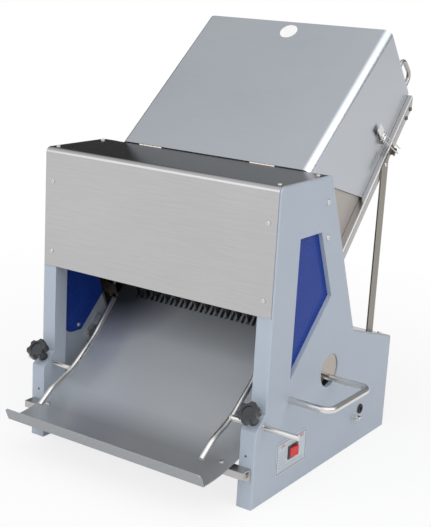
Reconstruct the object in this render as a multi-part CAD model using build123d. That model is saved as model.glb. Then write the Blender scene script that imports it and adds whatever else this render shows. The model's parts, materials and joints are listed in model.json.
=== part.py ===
from build123d import *
import os
from collections import namedtuple
from math import asin, cos, hypot, radians, sin, sqrt

# Gravity-feed bread slicer. Millimetres, +X to the right, +Y to the rear, +Z up.
# The pieces are drawn with y = 0 on the front of the posts and z = 0 on the floor. At the end they are
# moved so that the origin lies at the middle of the footprint.

# Sheet metal and fits
sheet = 1.5
running_clearance = 0.05
screw_clearance = 0.1
seat_gap = 0.3

# Side frames
half_width = 255.0
frame_thickness = 31.0
web_thickness = 8.0
rim_width = 14.0
post_depth = 32.0
leg_reach = 28.0
leg_height = 143.0
slant_top = 167.0
frame_depth = 478.0
frame_rear_height = 193.6
waist_y = 307.0
waist_z = 246.0
frame_top = 559.0
frame_top_depth = 172.5
frame_edge_radius = 2.5
corner_relief = 0.5

# Windows and the panels behind them
window_front = 74.0
window_top = 462.5
window_bottom = 210.0
window_rear_bottom = 336.8
window_rear_margin = 60.5
panel_thickness = 3.0
panel_front_margin = 25.0
panel_top_margin = 11.0
panel_rear_margin = 6.0
panel_low_margin = 36.7
panel_bottom_margin = 25.0
panel_corner = 5.0
panel_front_corner = 27.0
panel_screw_inset = 12.0
panel_low_screw_setback = 18.0
panel_rear_screw_share = 0.95

# Slanted blade plane, measured from the access hole's centre
access_y = 218.7
access_z = 189.7
access_radius = 32.0
blade_lean = 23.27

# Front cover
cover_side_gap = 3.0
cover_bottom = 337.0
cover_rear = 162.0
cover_bend = 9.0
cover_screw_inset = 20.4
cover_upper_screw_drop = 61.0
cover_lower_screw_rise = 28.5
cover_top_screw_inset = 15.0
cover_top_screw_front = 18.0
cover_top_screw_setback = 16.0

# Discharge slide and tray
feed_start_y = 131.85
feed_start_z = 185.27
feed_slope = 48.4
slide_side_gap = 4.0
slide_radius = 340.0
lip_setback = 3.6
lip_run = 10.3
lip_rise = 22.6
lip_corner = 8.0
comb_front_gap = 3.0
comb_rear_gap = 4.0
slot_width = 6.5
rest_bar_start = 5.0
rest_bar_width = 24.0
rest_bar_thickness = 6.0

# Tray bar across the legs
tray_bar_end_gap = 6.0
tray_bar_sheet = 2.0
tray_bar_depth = 25.0
tray_bar_lip = 13.0
tray_bar_bottom = 52.0
tray_bolt_inset = 17.0
tray_bolt_rise = 11.0
tray_screw_inset = 21.0
tray_screw_setback = 15.5

# Feed pan, its side rails, struts and spacers
pan_gap = 1.0
rail_reach = 171.35
rail_side_gap = 3.0
rail_width = 15.5
rail_height = 12.0
rail_lip = 16.0
rail_bend = 3.5
rail_screw_insets = (24.5, 47.0)
pan_fix_inset = 9.2
pan_fix_height = 4.0
spacer_radius = 7.0
strut_setback = 35.0
strut_width = 25.0
strut_foot = 18.3
strut_top_height = 11.5
strut_screw_height = 6.3
strut_foot_screw_drop = 8.3
strut_slot_gap = 0.6

# Inner feed plates, held on sleeves
plate_inset = 5.0
plate_gap = 2.0
plate_top_drop = 6.0
plate_overlap = 18.0
sleeve_drops = (45.0, 109.6)
sleeve_insets = (29.2, 48.9)
sleeve_radius = 8.0
side_screw_radius = 3.0
side_screw_length = 30.0

# Hood and its hinges
hinge_setback = 3.0
hinge_places = (-137.0, 114.5)
hinge_width = 53.0
hinge_knuckles = 5
knuckle_gap = 0.4
barrel_radius = 2.5
pin_radius = 1.2
leaf_length = 26.0
leaf_thickness = 1.5
hood_inset = 11.0
hood_bend = 14.0
lid_slope = 40.5
lid_start = 2.5
lid_length = 369.4
hood_overhang = 4.0
hood_gap = 0.7
hood_front_distance = 391.0
hood_front_setback = 20.0
hood_front_drop = 16.0

# Draw latches: base, lever and bail on the hood wall, keeper on the rail
latch_gap = 45.5
latch_pivot_height = 38.0
latch_pivot_out = 6.0
latch_half_width = 11.0
latch_base_bottom = 33.0
latch_base_top = 60.0
latch_ear = 2.0
latch_pin_radius = 1.3
lever_barrel_radius = 2.8
lever_length = 36.0
lever_thickness = 2.0
bail_radius = 1.1
bail_half_width = 6.0
bail_length = 51.0
bail_lean = 23.0
bail_pivot_up = 9.0
bail_eye_radius = 2.6
lever_slot_reach = 6.0
keeper_half_width = 8.0
keeper_reach = 6.0
keeper_hook = 4.0

# Pusher
pusher_setback = 28.0
pusher_side_gap = 5.0
pusher_height = 110.0
pusher_sheet = 2.0
pusher_foot = 18.0
pusher_handle_inset = 8.0
pusher_bar_radius = 4.5
pusher_grip_reach = 81.0
pusher_grip_low = 7.2
pusher_grip_high = 59.0
pusher_bend = 15.0

# Bread guides on the tray, clamped by knobs
guide_radius = 5.0
guide_path = ((124.0, 113.4), (64.5, 46.4), (1.0, -3.6), (-54.5, -25.6), (-85.0, -48.6))
guide_bends = (150.0, 150.0, 60.0)
cross_rod_along = 17.07
cross_rod_depth = 12.23
right_guide_inset = 33.0
right_rod_overhang = 68.0
left_guide_inset = 43.0
left_rod_overhang = 27.0
knob_radius = 20.5
knob_height = 14.0
knob_lobes = 6
knob_scallop = 7.5
knob_scallop_offset = 3.3
knob_hub_radius = 9.0
knob_stand_off = 19.5
knob_dish_radius = 11.0
knob_dish_depth = 2.0
knob_edge = 1.8
stud_radius = 4.0

# Carry handles
handle_radius = 6.0
handle_reach_out = 87.0
handle_spread = 149.5
handle_drop = 17.2
right_handle_setback = 7.8
left_handle_setback = 60.8
handle_bend = 18.0
handle_nut_size = 10.0
handle_nut_height = 8.0
tongue_thickness = 6.0

# Switch, cable grommet and earth terminal on the right frame
switch_plate_y = 96.5
switch_plate_z = 68.0
switch_plate_width = 105.0
switch_plate_height = 62.0
switch_plate_thickness = 1.0
switch_y = 99.5
switch_z = 70.5
bezel_width = 32.0
bezel_height = 24.5
bezel_thickness = 2.5
switch_body_width = 28.0
switch_body_height = 20.5
switch_body_depth = 22.0
rocker_radius = 12.6
rocker_height = 17.4
rocker_face = 7.0
rocker_back = 6.0
rocker_tilt = 10.0
grommet_y = 362.0
grommet_z = 71.0
grommet_radius = 9.5
grommet_neck_radius = 6.5
grommet_bore = 4.0
grommet_lip = 3.0
grommet_back = 2.5
grommet_edge = 1.2
earth_y = 330.0
earth_z = 64.0
earth_stud_radius = 2.5
earth_stud_length = 17.0
earth_nut_size = 5.0
earth_nut_height = 4.0
wing_span = 11.0
wing_height = 8.0
wing_thickness = 2.0

# Blades and the two blade frames
slice_pitch = 12.0
blade_count = 30
blade_width = 12.0
blade_thickness = 1.0
blade_slot_gap = 0.1
blade_seat_depth = 12.0
blade_frame_offset = 17.0
crank_throw = 13.0
bar_width = 14.0
bar_height = 16.0
lower_bar_start = 29.0
upper_bar_start = 280.0
rod_inset = 15.0
rod_radius = 6.0
rod_tail = 9.0
rod_tip = 8.0
bar_eye_radius = 8.0

# Guides of the blade frames
guide_plate_thickness = 6.0
guide_plate_setback = 5.4
guide_plate_bottom = -29.0
guide_plate_rise = 22.0
guide_plate_edge_drop = 10.5
guide_plate_edge_slope = -22.8
guide_boss_setback = 1.5
guide_block_wall = 13.0
guide_block_depth = 25.0
lower_block_gap = 4.0
lower_block_height = 26.0
upper_block_gap = 9.0
upper_block_height = 24.0
bush_radius = 8.5
tongue_half_width = 12.0
tongue_bottom = -42.0

# Crank drive
crank_drop = -95.0
crank_radius = 10.0
crank_end_gap = 3.0
eccentric_radius = 26.0
rod_thickness = 10.0
front_rod_gap = 39.5
con_rod_spacing = 40.0
big_end_radius = 34.0
small_end_radius = 10.0
small_end_drop = -18.0
con_rod_width = 16.0
wrist_pin_radius = 4.0
pivot_gap = 0.5
lug_thickness = 10.0
lug_bottom = -28.0
lug_bore_gap = 0.5
bearing_radius = 24.0
bearing_flange_radius = 34.0
bearing_flange = 6.0
bearing_length = 22.0

# Motor and belt
motor_setback = 68.0
motor_z = 105.0
motor_radius = 58.0
motor_left = -70.0
motor_right = 100.0
motor_foot_width = 80.0
motor_foot_left = -35.0
motor_foot_right = 65.0
fan_cover_length = 40.0
fan_cover_wall = 2.0
motor_shaft_radius = 9.5
motor_shaft_seat = 20.0
motor_shaft_overhang = 4.0
pulley_inset = 24.0
pulley_width = 20.0
crank_pulley_radius = 60.0
motor_pulley_radius = 22.0
groove_depth = 6.0
groove_width = 8.6
belt_width = 8.0
belt_gap = 0.3
belt_rim = 1.0

# Base plate and rear cover
base_plate_front = 200.0
base_plate_setback = 18.0
base_plate_thickness = 6.0
base_plate_gap = 0.5
base_bolt_end_inset = 15.0
base_bolt_side_inset = 19.0
rear_cover_top = 300.0
rear_cover_bottom = 24.0
rear_cover_screw_side_inset = 17.0
rear_cover_screw_inset = 22.0

# Screws and bolts
screw_head_radius = 4.2
screw_head_height = 2.4
screw_head_round = 1.4
screw_radius = 2.0
screw_length = 8.0
side_head_radius = 5.2
bolt_head_size = 6.0
bolt_head_height = 4.5
bolt_radius = 3.5
bolt_length = 10.0
panel_screw_length = 5.5
strut_screw_length = 6.5

# Sizes that follow from the ones above
inner_face = half_width - frame_thickness
web_face = half_width - web_thickness
frame_corner_radius = cover_bend + corner_relief
cover_half_width = half_width - cover_side_gap
tray_bar_half_length = half_width - tray_bar_end_gap
slide_half_width = inner_face - slide_side_gap
slide_front_y = feed_start_y - slide_radius * sin(radians(feed_slope))
slide_centre_z = feed_start_z + slide_radius * cos(radians(feed_slope))
lip_foot_y = slide_front_y - lip_setback
tray_screw_y = -leg_reach - tray_screw_setback
right_guide_x = slide_half_width - right_guide_inset
left_guide_x = left_guide_inset - slide_half_width
right_cross_rod_end = half_width + right_rod_overhang
left_cross_rod_end = -half_width - left_rod_overhang
knob_x = half_width - frame_thickness / 2

front_frame_offset = blade_frame_offset - crank_throw
rear_frame_offset = blade_frame_offset + crank_throw
frame_offsets = (front_frame_offset, rear_frame_offset)
comb_start = front_frame_offset - blade_width / 2 - comb_front_gap
comb_end = rear_frame_offset + blade_width / 2 + comb_rear_gap
pan_start = comb_end + pan_gap
plate_start = comb_end + plate_gap
lower_seat = lower_bar_start + bar_height - blade_seat_depth
upper_seat = upper_bar_start + blade_seat_depth
lower_block_bottom = lower_bar_start + bar_height + crank_throw + lower_block_gap
lower_block_top = lower_block_bottom + lower_block_height
upper_block_bottom = upper_bar_start + bar_height + crank_throw + upper_block_gap
upper_block_top = upper_block_bottom + upper_block_height
guide_plate_front = guide_plate_setback - access_radius
guide_plate_top = lower_block_top + guide_plate_rise
guide_block_front = front_frame_offset - guide_block_wall
guide_block_rear = rear_frame_offset + guide_block_wall
rod_x = web_face - rod_inset
rod_start = lower_bar_start - rod_tail
rod_end = upper_block_top + rod_tip

rail_half_width = inner_face - rail_side_gap
trough_half_width = rail_half_width - rail_width
rail_bottom = rail_height - rail_lip
strut_y = frame_depth - strut_setback
strut_distance = (strut_y - feed_start_y) / cos(radians(feed_slope))
strut_outer = inner_face
latch_distance = strut_distance + latch_gap
rail_end_distance = strut_distance + rail_reach
hood_half_width = rail_half_width - hood_inset
hood_wall_height = rail_height + hood_gap
hood_end_distance = rail_end_distance + hood_overhang
hinge_y = cover_rear + hinge_setback
hinge_z = frame_top - leaf_thickness + barrel_radius
lid_rise = sheet + leaf_thickness - barrel_radius
plate_half_width = hood_half_width - plate_inset
plate_thickness = sheet
plate_top = frame_top - plate_top_drop
pusher_half_width = plate_half_width - pusher_side_gap
pusher_handle_x = pusher_half_width - pusher_handle_inset
pusher_distance = rail_end_distance - pusher_setback
pusher_grip_distance = pusher_distance + pusher_grip_reach

handle_reach = half_width + handle_reach_out
handle_z = access_z - handle_drop
right_handle_y = access_y + right_handle_setback - handle_spread
left_handle_y = access_y + left_handle_setback - handle_spread
crank_half_length = web_face - crank_end_gap
pulley_x = inner_face - pulley_inset
front_rod_x = pulley_x - front_rod_gap
rear_rod_x = front_rod_x - con_rod_spacing
motor_place = (frame_depth - motor_setback, motor_z)
base_plate_rear = frame_depth - base_plate_setback

Fixing = namedtuple("Fixing", "at out")


# Directions in the Y and Z plane
def heading(angle):
    """Unit vector in Y and Z at an angle above the +Y direction."""
    return cos(radians(angle)), sin(radians(angle))


def along(origin, direction, u, v):
    """Point at distance u along a direction and v to its left."""
    dy, dz = direction
    return origin[0] + u * dy - v * dz, origin[1] + u * dz + v * dy


feed_direction = heading(feed_slope)
feed_origin = (feed_start_y, feed_start_z)
blade_direction = heading(90.0 + blade_lean)
lid_direction = heading(lid_slope)
slant_direction = (-leg_reach / hypot(leg_reach, slant_top - leg_height),
                   (leg_height - slant_top) / hypot(leg_reach, slant_top - leg_height))
slant_normal = (slant_direction[1], -slant_direction[0])
stud_foot = along((0.0, slant_top), slant_direction, cross_rod_along, 0.0)
cross_rod_place = along((0.0, slant_top), slant_direction, cross_rod_along, cross_rod_depth)


def feed(a, h):
    """Point at distance a up the feed line and height h square to it."""
    return along(feed_origin, feed_direction, a, h)


def blade(s, t):
    """Point at distance t up the blades and s behind the access hole's centre."""
    return along((access_y, access_z), blade_direction, t, -s)


def lid(distance, height):
    """Point at a distance along the lid's outer face, counted from the hinge axis."""
    foot = along((hinge_y, hinge_z), lid_direction, 0.0, lid_rise)
    return along(foot, lid_direction, distance, height)


def feed_at(s):
    """Distance up the feed line at which it crosses the blade offset s."""
    back = heading(blade_lean)
    offset = (feed_origin[0] - access_y) * back[0] + (feed_origin[1] - access_z) * back[1]
    rate = feed_direction[0] * back[0] + feed_direction[1] * back[1]
    return (s - offset) / rate


def meet(p, q, r, s):
    """Crossing of the line p-q with the line r-s."""
    d1 = (q[0] - p[0], q[1] - p[1])
    d2 = (s[0] - r[0], s[1] - r[1])
    cross = d1[0] * d2[1] - d1[1] * d2[0]
    k = ((r[0] - p[0]) * d2[1] - (r[1] - p[1]) * d2[0]) / cross
    return p[0] + k * d1[0], p[1] + k * d1[1]


def over_feed(y, h):
    """Point at a place y and height h square to the feed line."""
    return meet(feed(0.0, h), feed(1.0, h), (y, 0.0), (y, 1.0))


def shifted_edge(p, q, distance):
    """Edge p-q moved sideways to its left."""
    length = hypot(q[0] - p[0], q[1] - p[1])
    du = -(q[1] - p[1]) / length * distance
    dv = (q[0] - p[0]) / length * distance
    return (p[0] + du, p[1] + dv), (q[0] + du, q[1] + dv)


def inset(points, margins):
    """Closed anticlockwise outline with each edge moved inwards by its own margin."""
    count = len(points)
    edges = [shifted_edge(points[i], points[(i + 1) % count], margins[i]) for i in range(count)]
    return [meet(*edges[i - 1], *edges[i]) for i in range(count)]


def sheet_outline(path, thickness):
    """Outline of a bent sheet: a path and the same path moved to its left by the thickness."""
    edges = [shifted_edge(p, q, thickness) for p, q in zip(path, path[1:])]
    corners = [meet(*e, *f) for e, f in zip(edges, edges[1:])]
    moved = [edges[0][0]] + corners + [edges[-1][1]]
    return list(path) + moved[::-1]


# Solids
def prism(points, x0, x1):
    """Prism along X with an outline in Y and Z."""
    face = make_face(Polyline(*[(x0, y, z) for y, z in points], close=True))
    return extrude(face, amount=x1 - x0, dir=(1, 0, 0))


def feed_block(x0, x1, a0, a1, h0, h1):
    return prism([feed(a0, h0), feed(a1, h0), feed(a1, h1), feed(a0, h1)], x0, x1)


def blade_block(x0, x1, s0, s1, t0, t1):
    return prism([blade(s0, t0), blade(s1, t0), blade(s1, t1), blade(s0, t1)], x0, x1)


def block(x0, x1, y0, y1, z0, z1):
    return prism([(y0, z0), (y1, z0), (y1, z1), (y0, z1)], x0, x1)


def rod(start, end, radius):
    """Round bar between two points."""
    run = Vector(*end) - Vector(*start)
    return Solid.make_cylinder(radius, run.length, Plane(origin=start, z_dir=run))


def cross_bar(place, x0, x1, radius):
    """Round bar along X at a place in Y and Z."""
    return rod((x0, *place), (x1, *place), radius)


def hexagon(at, out, size, height):
    """Hexagonal nut or head standing on a point, measured to its flats."""
    return extrude(Plane(origin=at, z_dir=out) * RegularPolygon(size, 6, major_radius=False), amount=height)


def bent_bar(points, bends, radius):
    """Round bar along straight runs joined by arcs."""
    path = FilletPolyline(*points, radius=bends)
    return sweep(Plane(origin=path @ 0, z_dir=path % 0) * Circle(radius), path=path)


def screw(fixing, length=screw_length, radius=screw_radius, head=screw_head_radius):
    """Round-headed screw: its head stands on the fixing's place and its shank points inwards."""
    seat = Plane(origin=fixing.at, z_dir=fixing.out)
    top = Solid.make_cylinder(head, screw_head_height, seat)
    top = fillet(top.edges().sort_by(Axis(fixing.at, fixing.out))[-1], screw_head_round)
    return top + Solid.make_cylinder(radius, length, Plane(origin=fixing.at, z_dir=-Vector(*fixing.out)))


def bolt(fixing):
    """Hexagon-headed bolt standing on the fixing's place."""
    shank = Solid.make_cylinder(bolt_radius, bolt_length, Plane(origin=fixing.at, z_dir=-Vector(*fixing.out)))
    return hexagon(fixing.at, fixing.out, bolt_head_size, bolt_head_height) + shank


def bore(fixing, length=screw_length, radius=screw_radius):
    """Clearance hole for a screw."""
    seat = Plane(origin=fixing.at, z_dir=-Vector(*fixing.out))
    return Solid.make_cylinder(radius + screw_clearance, length + seat_gap, seat)


def mirrored(shape):
    return mirror(shape, about=Plane.YZ)


def flipped(fixing):
    """The same fixing on the left side."""
    x, y, z = fixing.at
    u, v, w = fixing.out
    return Fixing((-x, y, z), (-u, v, w))


def both_sides(fixings):
    return fixings + [flipped(f) for f in fixings]


# Outlines shared by several pieces
frame_outline = [(-leg_reach, 0.0), (frame_depth, 0.0), (frame_depth, frame_rear_height), (waist_y, waist_z),
                 (frame_top_depth, frame_top), (0.0, frame_top), (0.0, slant_top), (-leg_reach, leg_height)]
pocket_outline = inset([(0.0, 0.0)] + frame_outline[1:6],
                       [rim_width, rim_width, rim_width, rim_width, rim_width, post_depth])
rear_slope = ((waist_y, waist_z), (frame_top_depth, frame_top))
window_rear = shifted_edge(*rear_slope, window_rear_margin)


def at_height(edge, z):
    """Point of an edge at a height."""
    return meet(*edge, (0.0, z), (1.0, z))


window_outline = [(window_front, window_bottom), at_height(window_rear, window_rear_bottom),
                  at_height(window_rear, window_top), (window_front, window_top)]
panel_floor = window_bottom - panel_bottom_margin
panel_low_edge = shifted_edge(window_outline[0], window_outline[1], -panel_low_margin)
panel_outline = inset(window_outline, [-panel_low_margin, -panel_rear_margin, -panel_top_margin,
                                       -panel_front_margin])
panel_outline[0] = (window_front - panel_front_margin, panel_floor)
panel_outline.insert(1, meet(*panel_low_edge, (0.0, panel_floor), (1.0, panel_floor)))


# Places that follow from the outlines
foot_line = ((waist_y, waist_z), (frame_depth, frame_rear_height))
strut_foot_z = meet(*foot_line, (strut_y, 0.0), (strut_y, 1.0))[1]
strut_bottom = strut_foot_z - strut_foot
pan_fix_line = (feed(0.0, pan_fix_height), feed(1.0, pan_fix_height))
pan_fix_place = meet(*shifted_edge(*rear_slope, pan_fix_inset), *pan_fix_line)
sleeve_places = []
for drop, margin in zip(sleeve_drops, sleeve_insets):
    slope_y = at_height(rear_slope, frame_top - drop)[0]
    sleeve_places.append((slope_y - margin, frame_top - drop))


def slide_point(radius, angle):
    """Point of the slide's arc, at an angle from its lowest point."""
    return slide_front_y + radius * sin(angle), slide_centre_z - radius * cos(angle)


def slide_angle(y, radius):
    return asin((y - slide_front_y) / radius)


# Places of the screws on the right side
def normal_of(p, q):
    """Unit normal to the left of p-q."""
    length = hypot(q[0] - p[0], q[1] - p[1])
    return -(q[1] - p[1]) / length, (q[0] - p[0]) / length


cover_screw_heights = (frame_top - cover_upper_screw_drop, cover_bottom + cover_lower_screw_rise)
cover_top_screw_depths = (cover_top_screw_front, cover_rear - cover_top_screw_setback)
base_bolt_depths = (base_plate_front + base_bolt_end_inset, (base_plate_front + base_plate_rear) / 2,
                    base_plate_rear - base_bolt_end_inset)
tray_screw_angle = slide_angle(tray_screw_y, slide_radius)
tray_screw_place = slide_point(slide_radius - screw_clearance, tray_screw_angle)

cover_fixings = [Fixing((half_width - cover_screw_inset, -sheet, z), (0, -1, 0)) for z in cover_screw_heights]
cover_fixings += [Fixing((half_width - cover_top_screw_inset, y, frame_top + sheet), (0, 0, 1))
                  for y in cover_top_screw_depths]
bolt_z = tray_bar_bottom + tray_bolt_rise
tray_fixings = [Fixing((half_width - tray_bolt_inset, -leg_reach - tray_bar_sheet, bolt_z), (0, -1, 0))]
slide_fixings = [Fixing((slide_half_width - tray_screw_inset, *tray_screw_place),
                        (0, -sin(tray_screw_angle), cos(tray_screw_angle)))]
base_fixings = [Fixing((half_width - base_bolt_side_inset, y, rim_width + base_plate_thickness), (0, 0, 1))
                for y in base_bolt_depths]
side_fixings = [Fixing((half_width, *place), (1, 0, 0)) for place in sleeve_places]
pan_fixings = [Fixing((rail_half_width - sheet, *pan_fix_place), (-1, 0, 0))]
rail_fixings = [Fixing((rail_half_width, *feed(rail_end_distance - inward, 0.0)), (1, 0, 0))
                for inward in rail_screw_insets]
strut_fixings = [Fixing((strut_outer, *over_feed(strut_y, strut_screw_height)), (1, 0, 0))]
strut_foot_fixings = [Fixing((rail_half_width, strut_y, strut_foot_z - strut_foot_screw_drop), (-1, 0, 0))]


def panel_fixing(y, z):
    return Fixing((web_face - panel_thickness, y, z), (-1, 0, 0))


low_place = along(window_outline[0], heading(0.0),
                  (window_outline[1][0] - window_front) * panel_rear_screw_share,
                  (window_outline[1][1] - window_bottom) * panel_rear_screw_share)
low_normal = normal_of(*panel_low_edge)
panel_fixings = [panel_fixing(window_front + panel_low_screw_setback, panel_floor + panel_screw_inset),
                 panel_fixing(window_front - panel_screw_inset, window_top - panel_screw_inset),
                 panel_fixing(low_place[0] - low_normal[0] * panel_screw_inset,
                              low_place[1] - low_normal[1] * panel_screw_inset)]

rear_path = [at_height(rear_slope, rear_cover_top), (waist_y, waist_z), (frame_depth, frame_rear_height),
             (frame_depth, rear_cover_bottom)]


def rear_fixing(p, q, distance):
    """Screw on the rear cover's outer face, at a distance from p towards q."""
    v, w = normal_of(p, q)
    length = hypot(q[0] - p[0], q[1] - p[1])
    y = p[0] + (q[0] - p[0]) * distance / length + v * sheet
    z = p[1] + (q[1] - p[1]) * distance / length + w * sheet
    return Fixing((half_width - rear_cover_screw_side_inset, y, z), (0, v, w))


rear_top_length = hypot(frame_depth - waist_y, frame_rear_height - waist_z)
rear_back_length = frame_rear_height - rear_cover_bottom
rear_fixings = [rear_fixing(rear_path[0], rear_path[1], rear_cover_screw_inset),
                rear_fixing(rear_path[1], rear_path[2], rear_cover_screw_inset),
                rear_fixing(rear_path[1], rear_path[2], rear_top_length - rear_cover_screw_inset),
                rear_fixing(rear_path[2], rear_path[3], rear_cover_screw_inset),
                rear_fixing(rear_path[2], rear_path[3], rear_back_length - rear_cover_screw_inset)]


# Side frames, panels and covers
def frame_blank():
    """Right side frame before the holes that only one side has."""
    body = prism(frame_outline, inner_face, half_width)
    front_corner = body.edges().filter_by(Axis.X).sort_by_distance((half_width, 0.0, frame_top))[0]
    body = fillet(front_corner, frame_corner_radius)
    body = fillet(body.faces().sort_by(Axis.X)[-1].edges(), frame_edge_radius)
    body -= prism(pocket_outline, inner_face, web_face)
    body -= prism(window_outline, web_face, half_width)
    body -= cross_bar((access_y, access_z), web_face, half_width, access_radius)
    body -= cross_bar(cross_rod_place, inner_face, half_width, guide_radius + running_clearance)
    body -= stud_bore()
    body -= [bore(f) for f in cover_fixings + rear_fixings + strut_foot_fixings + pan_fixings]
    body -= [bore(f, panel_screw_length) for f in panel_fixings]
    body -= [bore(f, side_screw_length, side_screw_radius) for f in side_fixings]
    body -= [bore(f, bolt_length, bolt_radius) for f in tray_fixings + base_fixings]
    return body


def stud_seat():
    """Plane on the slanted leg face, square over the cross rod."""
    return Plane(origin=(knob_x, *stud_foot), x_dir=(1, 0, 0), z_dir=(0, *slant_normal))


def stud_bore():
    bottom = stud_seat().offset(-cross_rod_depth)
    return Solid.make_cylinder(stud_radius + running_clearance, cross_rod_depth, bottom)


def handle_legs(front_y):
    return [(front_y, handle_z), (front_y + handle_spread, handle_z)]


def leg_bore(place):
    return cross_bar(place, web_face, half_width, handle_radius + running_clearance)


def right_frame():
    body = frame_blank() - leg_bore(handle_legs(right_handle_y)[0])
    body -= block(web_face, half_width, switch_y - switch_body_width / 2 - seat_gap,
                  switch_y + switch_body_width / 2 + seat_gap, switch_z - switch_body_height / 2 - seat_gap,
                  switch_z + switch_body_height / 2 + seat_gap)
    body -= cross_bar((grommet_y, grommet_z), web_face, half_width, grommet_neck_radius + screw_clearance)
    body -= cross_bar((earth_y, earth_z), web_face, half_width, earth_stud_radius + screw_clearance)
    return body


def left_frame():
    body = mirrored(frame_blank())
    for place in handle_legs(left_handle_y):
        body -= mirrored(leg_bore(place))
    return body


def window_panel():
    panel = prism(panel_outline, web_face - panel_thickness, web_face)
    corners = panel.edges().filter_by(Axis.X).sort_by_distance((web_face, *panel_outline[0]))
    panel = fillet(corners[1:], panel_corner)
    corners = panel.edges().filter_by(Axis.X).sort_by_distance((web_face, *panel_outline[0]))
    panel = fillet(corners[0], panel_front_corner)
    return panel - [bore(f, panel_screw_length) for f in panel_fixings]


def front_cover():
    path = [(0.0, cover_bottom), (0.0, frame_top), (cover_rear, frame_top)]
    cover = prism(sheet_outline(path, sheet), -cover_half_width, cover_half_width)
    edges = cover.edges().filter_by(Axis.X)
    cover = fillet(edges.sort_by_distance((0.0, 0.0, frame_top))[0], cover_bend)
    edges = cover.edges().filter_by(Axis.X)
    cover = fillet(edges.sort_by_distance((0.0, -sheet, frame_top + sheet))[0], cover_bend + sheet)
    return cover - [bore(f) for f in both_sides(cover_fixings)]


def rear_cover():
    cover = prism(sheet_outline(rear_path, sheet), -cover_half_width, cover_half_width)
    for side in (-1, 1):
        low, high = sorted((side * (rail_half_width - strut_slot_gap), side * (strut_outer + strut_slot_gap)))
        cover -= block(low, high, strut_y - strut_width / 2 - strut_slot_gap,
                       strut_y + strut_width / 2 + strut_slot_gap, strut_bottom, waist_z)
    return cover - [bore(f) for f in both_sides(rear_fixings)]


# Discharge side
def lip_points():
    """Tip and foot of the tray's lip, on the side of the bread."""
    foot = slide_point(slide_radius, slide_angle(lip_foot_y, slide_radius))
    return (foot[0] - lip_run, foot[1] + lip_rise), foot


def slide_profile():
    """Slide and tray in one bent sheet: lip, arc and the start of the feed line."""
    end = feed_at(comb_end)
    outer = slide_radius + sheet
    tip, foot = lip_points()
    tip_back, foot_back = shifted_edge(tip, foot, -sheet)
    low = slide_point(outer, 0.0)
    foot_back = meet(tip_back, foot_back, low, (low[0] + 1.0, low[1]))
    middle = radians(feed_slope / 2)

    def at(point):
        return -slide_half_width, *point

    edges = [Line(at(tip), at(foot)),
             ThreePointArc(at(foot), at(slide_point(slide_radius, middle)), at(feed_origin)),
             Line(at(feed_origin), at(feed(end, 0.0))),
             Line(at(feed(end, 0.0)), at(feed(end, -sheet))),
             Line(at(feed(end, -sheet)), at(feed(0.0, -sheet))),
             ThreePointArc(at(feed(0.0, -sheet)), at(slide_point(outer, middle)), at(low)),
             Line(at(low), at(foot_back)), Line(at(foot_back), at(tip_back)), Line(at(tip_back), at(tip))]
    return make_face(edges)


def blade_x(index):
    return (index - (blade_count - 1) / 2) * slice_pitch


def discharge_slide():
    body = extrude(slide_profile(), amount=2 * slide_half_width, dir=(1, 0, 0))
    tip, foot = lip_points()
    tip_back = shifted_edge(tip, foot, -sheet)[0]
    tip_middle = ((tip[0] + tip_back[0]) / 2, (tip[1] + tip_back[1]) / 2)
    for x in (-slide_half_width, slide_half_width):
        corner = body.edges().sort_by_distance((x, *tip_middle))[0]
        body = fillet(corner, lip_corner)
    start, end = feed_at(comb_start), feed_at(comb_end)
    slots = [feed_block(blade_x(i) - slot_width / 2, blade_x(i) + slot_width / 2, start, end + sheet,
                        -2 * sheet, sheet) for i in range(blade_count)]
    return body - slots - [bore(f) for f in both_sides(slide_fixings)]


def slide_rest_bar():
    return feed_block(-web_face, web_face, rest_bar_start, rest_bar_start + rest_bar_width,
                      -sheet - rest_bar_thickness, -sheet)


def tray_bar():
    front = -leg_reach - tray_bar_depth
    under = slide_radius + sheet
    top = slide_point(under, slide_angle(front, under))[1] - seat_gap
    path = [(-leg_reach, tray_bar_bottom), (-leg_reach, top), (front, top), (front, top - tray_bar_lip)]
    bar = prism(sheet_outline(path, tray_bar_sheet), -tray_bar_half_length, tray_bar_half_length)
    bar -= [bore(f) for f in both_sides(slide_fixings)]
    return bar - [bore(f, bolt_length, bolt_radius) for f in both_sides(tray_fixings)]


def bread_guide(x, rod_end):
    """Bent rod over the tray, welded to the cross rod that slides in the leg."""
    y, z = cross_rod_place
    bar = bent_bar([(x, y + u, z + w) for u, w in guide_path], guide_bends, guide_radius)
    return bar + rod((x, y, z), (rod_end, y, z), guide_radius)


def knob():
    """Lobed knob with its stud, on the right leg."""
    seat = stud_seat()
    base = seat.offset(knob_stand_off)
    outline = Circle(knob_radius)
    hollows = PolarLocations(knob_radius + knob_scallop_offset, knob_lobes)
    outline -= [hollow * Circle(knob_scallop) for hollow in hollows]
    head = extrude(base * outline, amount=knob_height)
    head = fillet(head.edges().group_by(Axis((0, 0, 0), (0, *slant_normal)))[-1], knob_edge)
    head += Solid.make_cylinder(knob_hub_radius, knob_stand_off - seat_gap, seat.offset(seat_gap))
    head -= Solid.make_cylinder(knob_dish_radius, knob_dish_depth, base.offset(knob_height - knob_dish_depth))
    tip = guide_radius + seat_gap - cross_rod_depth
    length = knob_stand_off + knob_height / 2 - tip
    stud = Solid.make_cylinder(stud_radius, length, seat.offset(tip))
    return [head - stud, stud]


# Feed side
def feed_plane(distance):
    """Plane across the feed line, looking down it, with its own X along X and Y up from the pan."""
    return Plane(origin=(0.0, *feed(distance, 0.0)), x_dir=(1, 0, 0),
                 z_dir=(0, -feed_direction[0], -feed_direction[1]))


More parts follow.
